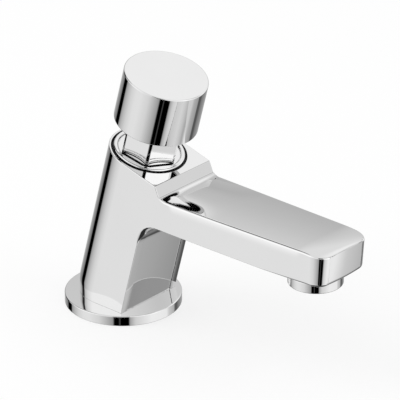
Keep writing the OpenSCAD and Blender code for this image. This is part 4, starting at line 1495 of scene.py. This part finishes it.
class TAP_OT_studio(bpy.types.Operator):
    """Pale floor, white tent with dark cards for the chrome, soft lamps and the camera"""

    bl_idname = "tap.studio"
    bl_label = "Studio"

    # Brightness of the tent's wall low down and high up, by degrees clockwise from the camera
    LOW_WALL = [
        (-180, 0.60), (-166, 0.58), (-157, 0.38), (-147, 0.30), (-139, 0.20), (-137, 0.0),
        (-122, 0.0), (-120, 0.36), (-110, 0.57), (-98, 0.76), (-84, 0.88), (-70, 0.89),
        (-48, 0.77), (-20, 0.36), (-17.5, 0.0), (-8, 0.0), (-7, 0.06), (-5.5, 0.06), (-4.5, 0.0),
        (11.5, 0.0), (13.5, 0.40), (25, 0.74), (58, 1.0), (95, 0.96), (103, 0.68), (113, 0.57),
        (119.5, 0.48), (122.5, 0.12), (132, 0.12), (136, 0.22), (168, 0.42), (180, 0.60),
    ]
    HIGH_WALL = [
        (-180, 0.50), (-150, 0.46), (-139, 0.30), (-137, 0.0), (-122, 0.0), (-120, 0.6),
        (-105, 0.95), (-84, 1.2), (-62, 1.2), (-45, 1.0), (-22, 0.9), (-17.5, 0.0), (11.5, 0.0),
        (14, 1.0), (60, 1.4), (80, 1.0), (92, 0.76), (104, 1.0), (112, 1.15), (130, 1.1),
        (150, 0.75), (180, 0.50),
    ]
    # Heights in degrees over which the low wall turns into the high one
    WALLS_MEET = (-24, 6)
    # Where the gap in the wall ahead is, as a card's bearing
    GAP = (-3, 26, 20)
    # Cards in the order in which they are hung: heights from none to full at the foot and at the
    # top, a bearing with its distances from none to full, how dense the card is, and its grey
    CARDS = [
        ((26, 46), None, None, 0.3, 0.0),
        ((20, 34), None, (0, 125, 155), 1.0, 0.85),
        ((-19, -14), (-2, -5), GAP, 1.0, 0.8),
        ((8, 12), (21, 18), GAP, 1.0, 0.8),
        ((46, 54), None, GAP, 1.0, 0.8),
        ((44, 60), None, None, 1.0, 0.85),
        ((30, 42), (68, 60), (-128, 24, 14), 1.0, 0.0),
        ((34, 39), (50, 46), (114, 9, 5), 0.5, 0.0),
        ((-34, -42), None, (180, 120, 100), 0.26, 0.0),
        ((-56, -66), None, None, 1.0, 0.03),
    ]
    # Half widths in degrees of the soft box that the button's top mirrors, from none to full
    SOFT_BOX = (10, 3)
    # Lamps by name, place, size and watts, and where they aim
    LAMPS = [
        ("key_lamp", (-0.7, -0.9, 1.5), 1.2, 9.0),
        ("fill_lamp", (1.3, 0.4, 1.2), 1.0, 4.0),
    ]
    LAMP_AIM = (0.03, 0, 0.05)
    SENSOR_MM = 36.0

    def execute(self, context):
        studio = context.scene.tap_studio
        self.camera(context, studio)
        self.floor(context, studio)
        self.tent(context, studio)
        self.lamps(context)
        context.scene.view_settings.view_transform = "Standard"
        return {"FINISHED"}

    def toward_camera(self, studio):
        """The direction from the tap to the camera."""
        level = math.cos(studio.rise)
        return Vector((
            math.sin(studio.bearing) * level, -math.cos(studio.bearing) * level,
            math.sin(studio.rise),
        ))

    def camera(self, context, studio):
        """A long lens that looks down at the tap from ahead and from its near side."""
        back = self.toward_camera(studio)
        data = bpy.data.cameras.new("camera")
        data.lens, data.sensor_width = studio.lens, self.SENSOR_MM
        data.clip_start, data.clip_end = 0.01, 100.0
        made = bpy.data.objects.new("camera", data)
        made.location = Vector(studio.aim) + back * studio.distance
        made.rotation_euler = (-back).to_track_quat("-Z", "Y").to_euler()
        context.scene.collection.objects.link(made)
        context.scene.camera = made

    def floor(self, context, studio):
        """A pale deck with a hole for the tail. Mirror rays pass it and see the tent below."""
        skin = Skin()
        below = -0.1 * MM
        hole_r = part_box("inlet_tail")[1].x + 0.5 * MM
        outline = rounded_outline([(hole_r, below), (studio.floor_r, below)], [0, 0])
        skin.lathe(outline, upright(), even_turns(96))
        mesh = bpy.data.meshes.new("floor")
        mesh.from_pydata(skin.points, [], skin.faces)
        made = bpy.data.objects.new("floor", mesh)
        context.scene.collection.objects.link(made)
        made.visible_glossy = False
        material, net = new_finish("pale_floor")
        seen = ray_kind(net, "Camera") + ray_kind(net, "Glossy") + ray_kind(net, "Transmission")
        matt = net.node("ShaderNodeBsdfDiffuse", {"Color": (0.95, 0.95, 0.95, 1)})
        white = net.node("ShaderNodeEmission", {"Color": (1, 1, 1, 1), "Strength": 1.0})
        both = net.node("ShaderNodeMixShader", {0: seen * studio.floor_glow, 1: matt, 2: white})
        net.node("ShaderNodeOutputMaterial", {"Surface": both})
        mesh.materials.append(material)

    def tent(self, context, studio):
        """White to the camera, a wall with cards to mirror rays, and an even glow to the rest."""
        world = bpy.data.worlds.new("tent")
        context.scene.world = world
        world.use_nodes = True
        world.node_tree.nodes.clear()
        net = Wire(world.node_tree)
        even = (studio.ambient,) * 3 + (1,)
        unseen = ray_kind(net, "Glossy").blend(even, self.mirrored(net, studio))
        direct = ray_kind(net, "Camera") + ray_kind(net, "Transmission")
        shown = direct.blend(unseen, (1, 1, 1, 1))
        back = net.node("ShaderNodeBackground", {"Color": shown, "Strength": 1.0})
        net.node("ShaderNodeOutputWorld", {"Surface": back})

    def mirrored(self, net, studio):
        """How bright the tent is in each direction that the chrome mirrors."""
        toward = (math.sin(studio.bearing), -math.cos(studio.bearing), 0)
        beside = (math.cos(studio.bearing), math.sin(studio.bearing), 0)
        ray = net.node("ShaderNodeTexCoord", out="Generated")

        def along(direction):
            inputs = {0: ray, 1: direction}
            return net.node("ShaderNodeVectorMath", inputs, "Value", operation="DOT_PRODUCT")

        bearing = net.math("ARCTAN2", along(beside), along(toward))
        turn = bearing * (1 / math.tau) + 0.5
        degrees = bearing * (180 / math.pi)
        height = net.math("ARCSINE", along(UP)) * (180 / math.pi)

        def wall(stops):
            places = [(place / 360 + 0.5, grey) for place, grey in stops]
            return net.node("ShaderNodeValToRGB", {0: turn}, stops=places)

        def between(value, start, end):
            return net.node(
                "ShaderNodeMapRange", {0: value, 1: start, 2: end, 3: 0.0, 4: 1.0},
                interpolation_type="SMOOTHSTEP",
            )

        def mixed(share, first, second):
            return first + share * (second - first)

        lit = mixed(between(height, *self.WALLS_MEET), wall(self.LOW_WALL), wall(self.HIGH_WALL))
        for foot, top, about, density, grey in self.CARDS:
            share = between(height, *foot) * density
            if top:
                share *= between(height, *top)
            if about:
                middle, none, full = about
                share *= between(net.math("ABSOLUTE", degrees - middle), none, full)
            lit = mixed(share, lit, grey)
        soft_box = (-self.toward_camera(studio)).reflect(AXIS)
        edges = [math.cos(math.radians(half)) for half in self.SOFT_BOX]
        return mixed(between(along(soft_box), *edges), lit, 1.0)

    def lamps(self, context):
        """Two soft boxes that light dull surfaces and give the floor its shadow."""
        for name, place, size, watts in self.LAMPS:
            data = bpy.data.lights.new(name, "AREA")
            data.energy, data.size = watts, size
            made = bpy.data.objects.new(name, data)
            made.location = place
            aim = Vector(self.LAMP_AIM) - Vector(place)
            made.rotation_euler = aim.to_track_quat("-Z", "Y").to_euler()
            made.visible_glossy = False
            context.scene.collection.objects.link(made)


class TAP_PT_panel(bpy.types.Panel):
    """Lists the tap's pieces and their sizes"""

    bl_idname = "TAP_PT_panel"
    bl_label = "Push timed tap"
    bl_space_type = "VIEW_3D"
    bl_region_type = "UI"
    bl_category = "Tap"

    def draw(self, context):
        for operator in OPERATORS:
            self.layout.operator(operator.bl_idname)
        for name in GROUPS:
            group = getattr(context.scene, name)
            column = self.layout.column(align=True)
            for key in group.__annotations__:
                column.prop(group, key)


OPERATORS = (
    TAP_OT_cast_body, TAP_OT_base_flange, TAP_OT_push_button, TAP_OT_outlet_ring, TAP_OT_head_nut,
    TAP_OT_backnut, TAP_OT_inlet_tail, TAP_OT_return_spring, TAP_OT_inner_pieces, TAP_OT_studio,
)
GROUPS = {
    "tap_body": BodySizes,
    "tap_head": HeadSizes,
    "tap_fittings": FittingSizes,
    "tap_colours": FinishColours,
    "tap_studio": StudioSettings,
}


def register():
    """Registers the classes and hangs the property groups on the scene."""
    for group in GROUPS.values():
        bpy.utils.register_class(group)
    for operator in OPERATORS:
        bpy.utils.register_class(operator)
    bpy.utils.register_class(TAP_PT_panel)
    for name, group in GROUPS.items():
        setattr(bpy.types.Scene, name, PointerProperty(type=group))


def unregister():
    """Takes the property groups off the scene and unregisters the classes."""
    for name in GROUPS:
        delattr(bpy.types.Scene, name)
    for cls in (TAP_PT_panel, *OPERATORS, *GROUPS.values()):
        bpy.utils.unregister_class(cls)


def main():
    """Builds the tap and its studio."""
    register()
    for operator in OPERATORS:
        group, name = operator.bl_idname.split(".")
        getattr(getattr(bpy.ops, group), name)()


if __name__ == "__main__":
    main()
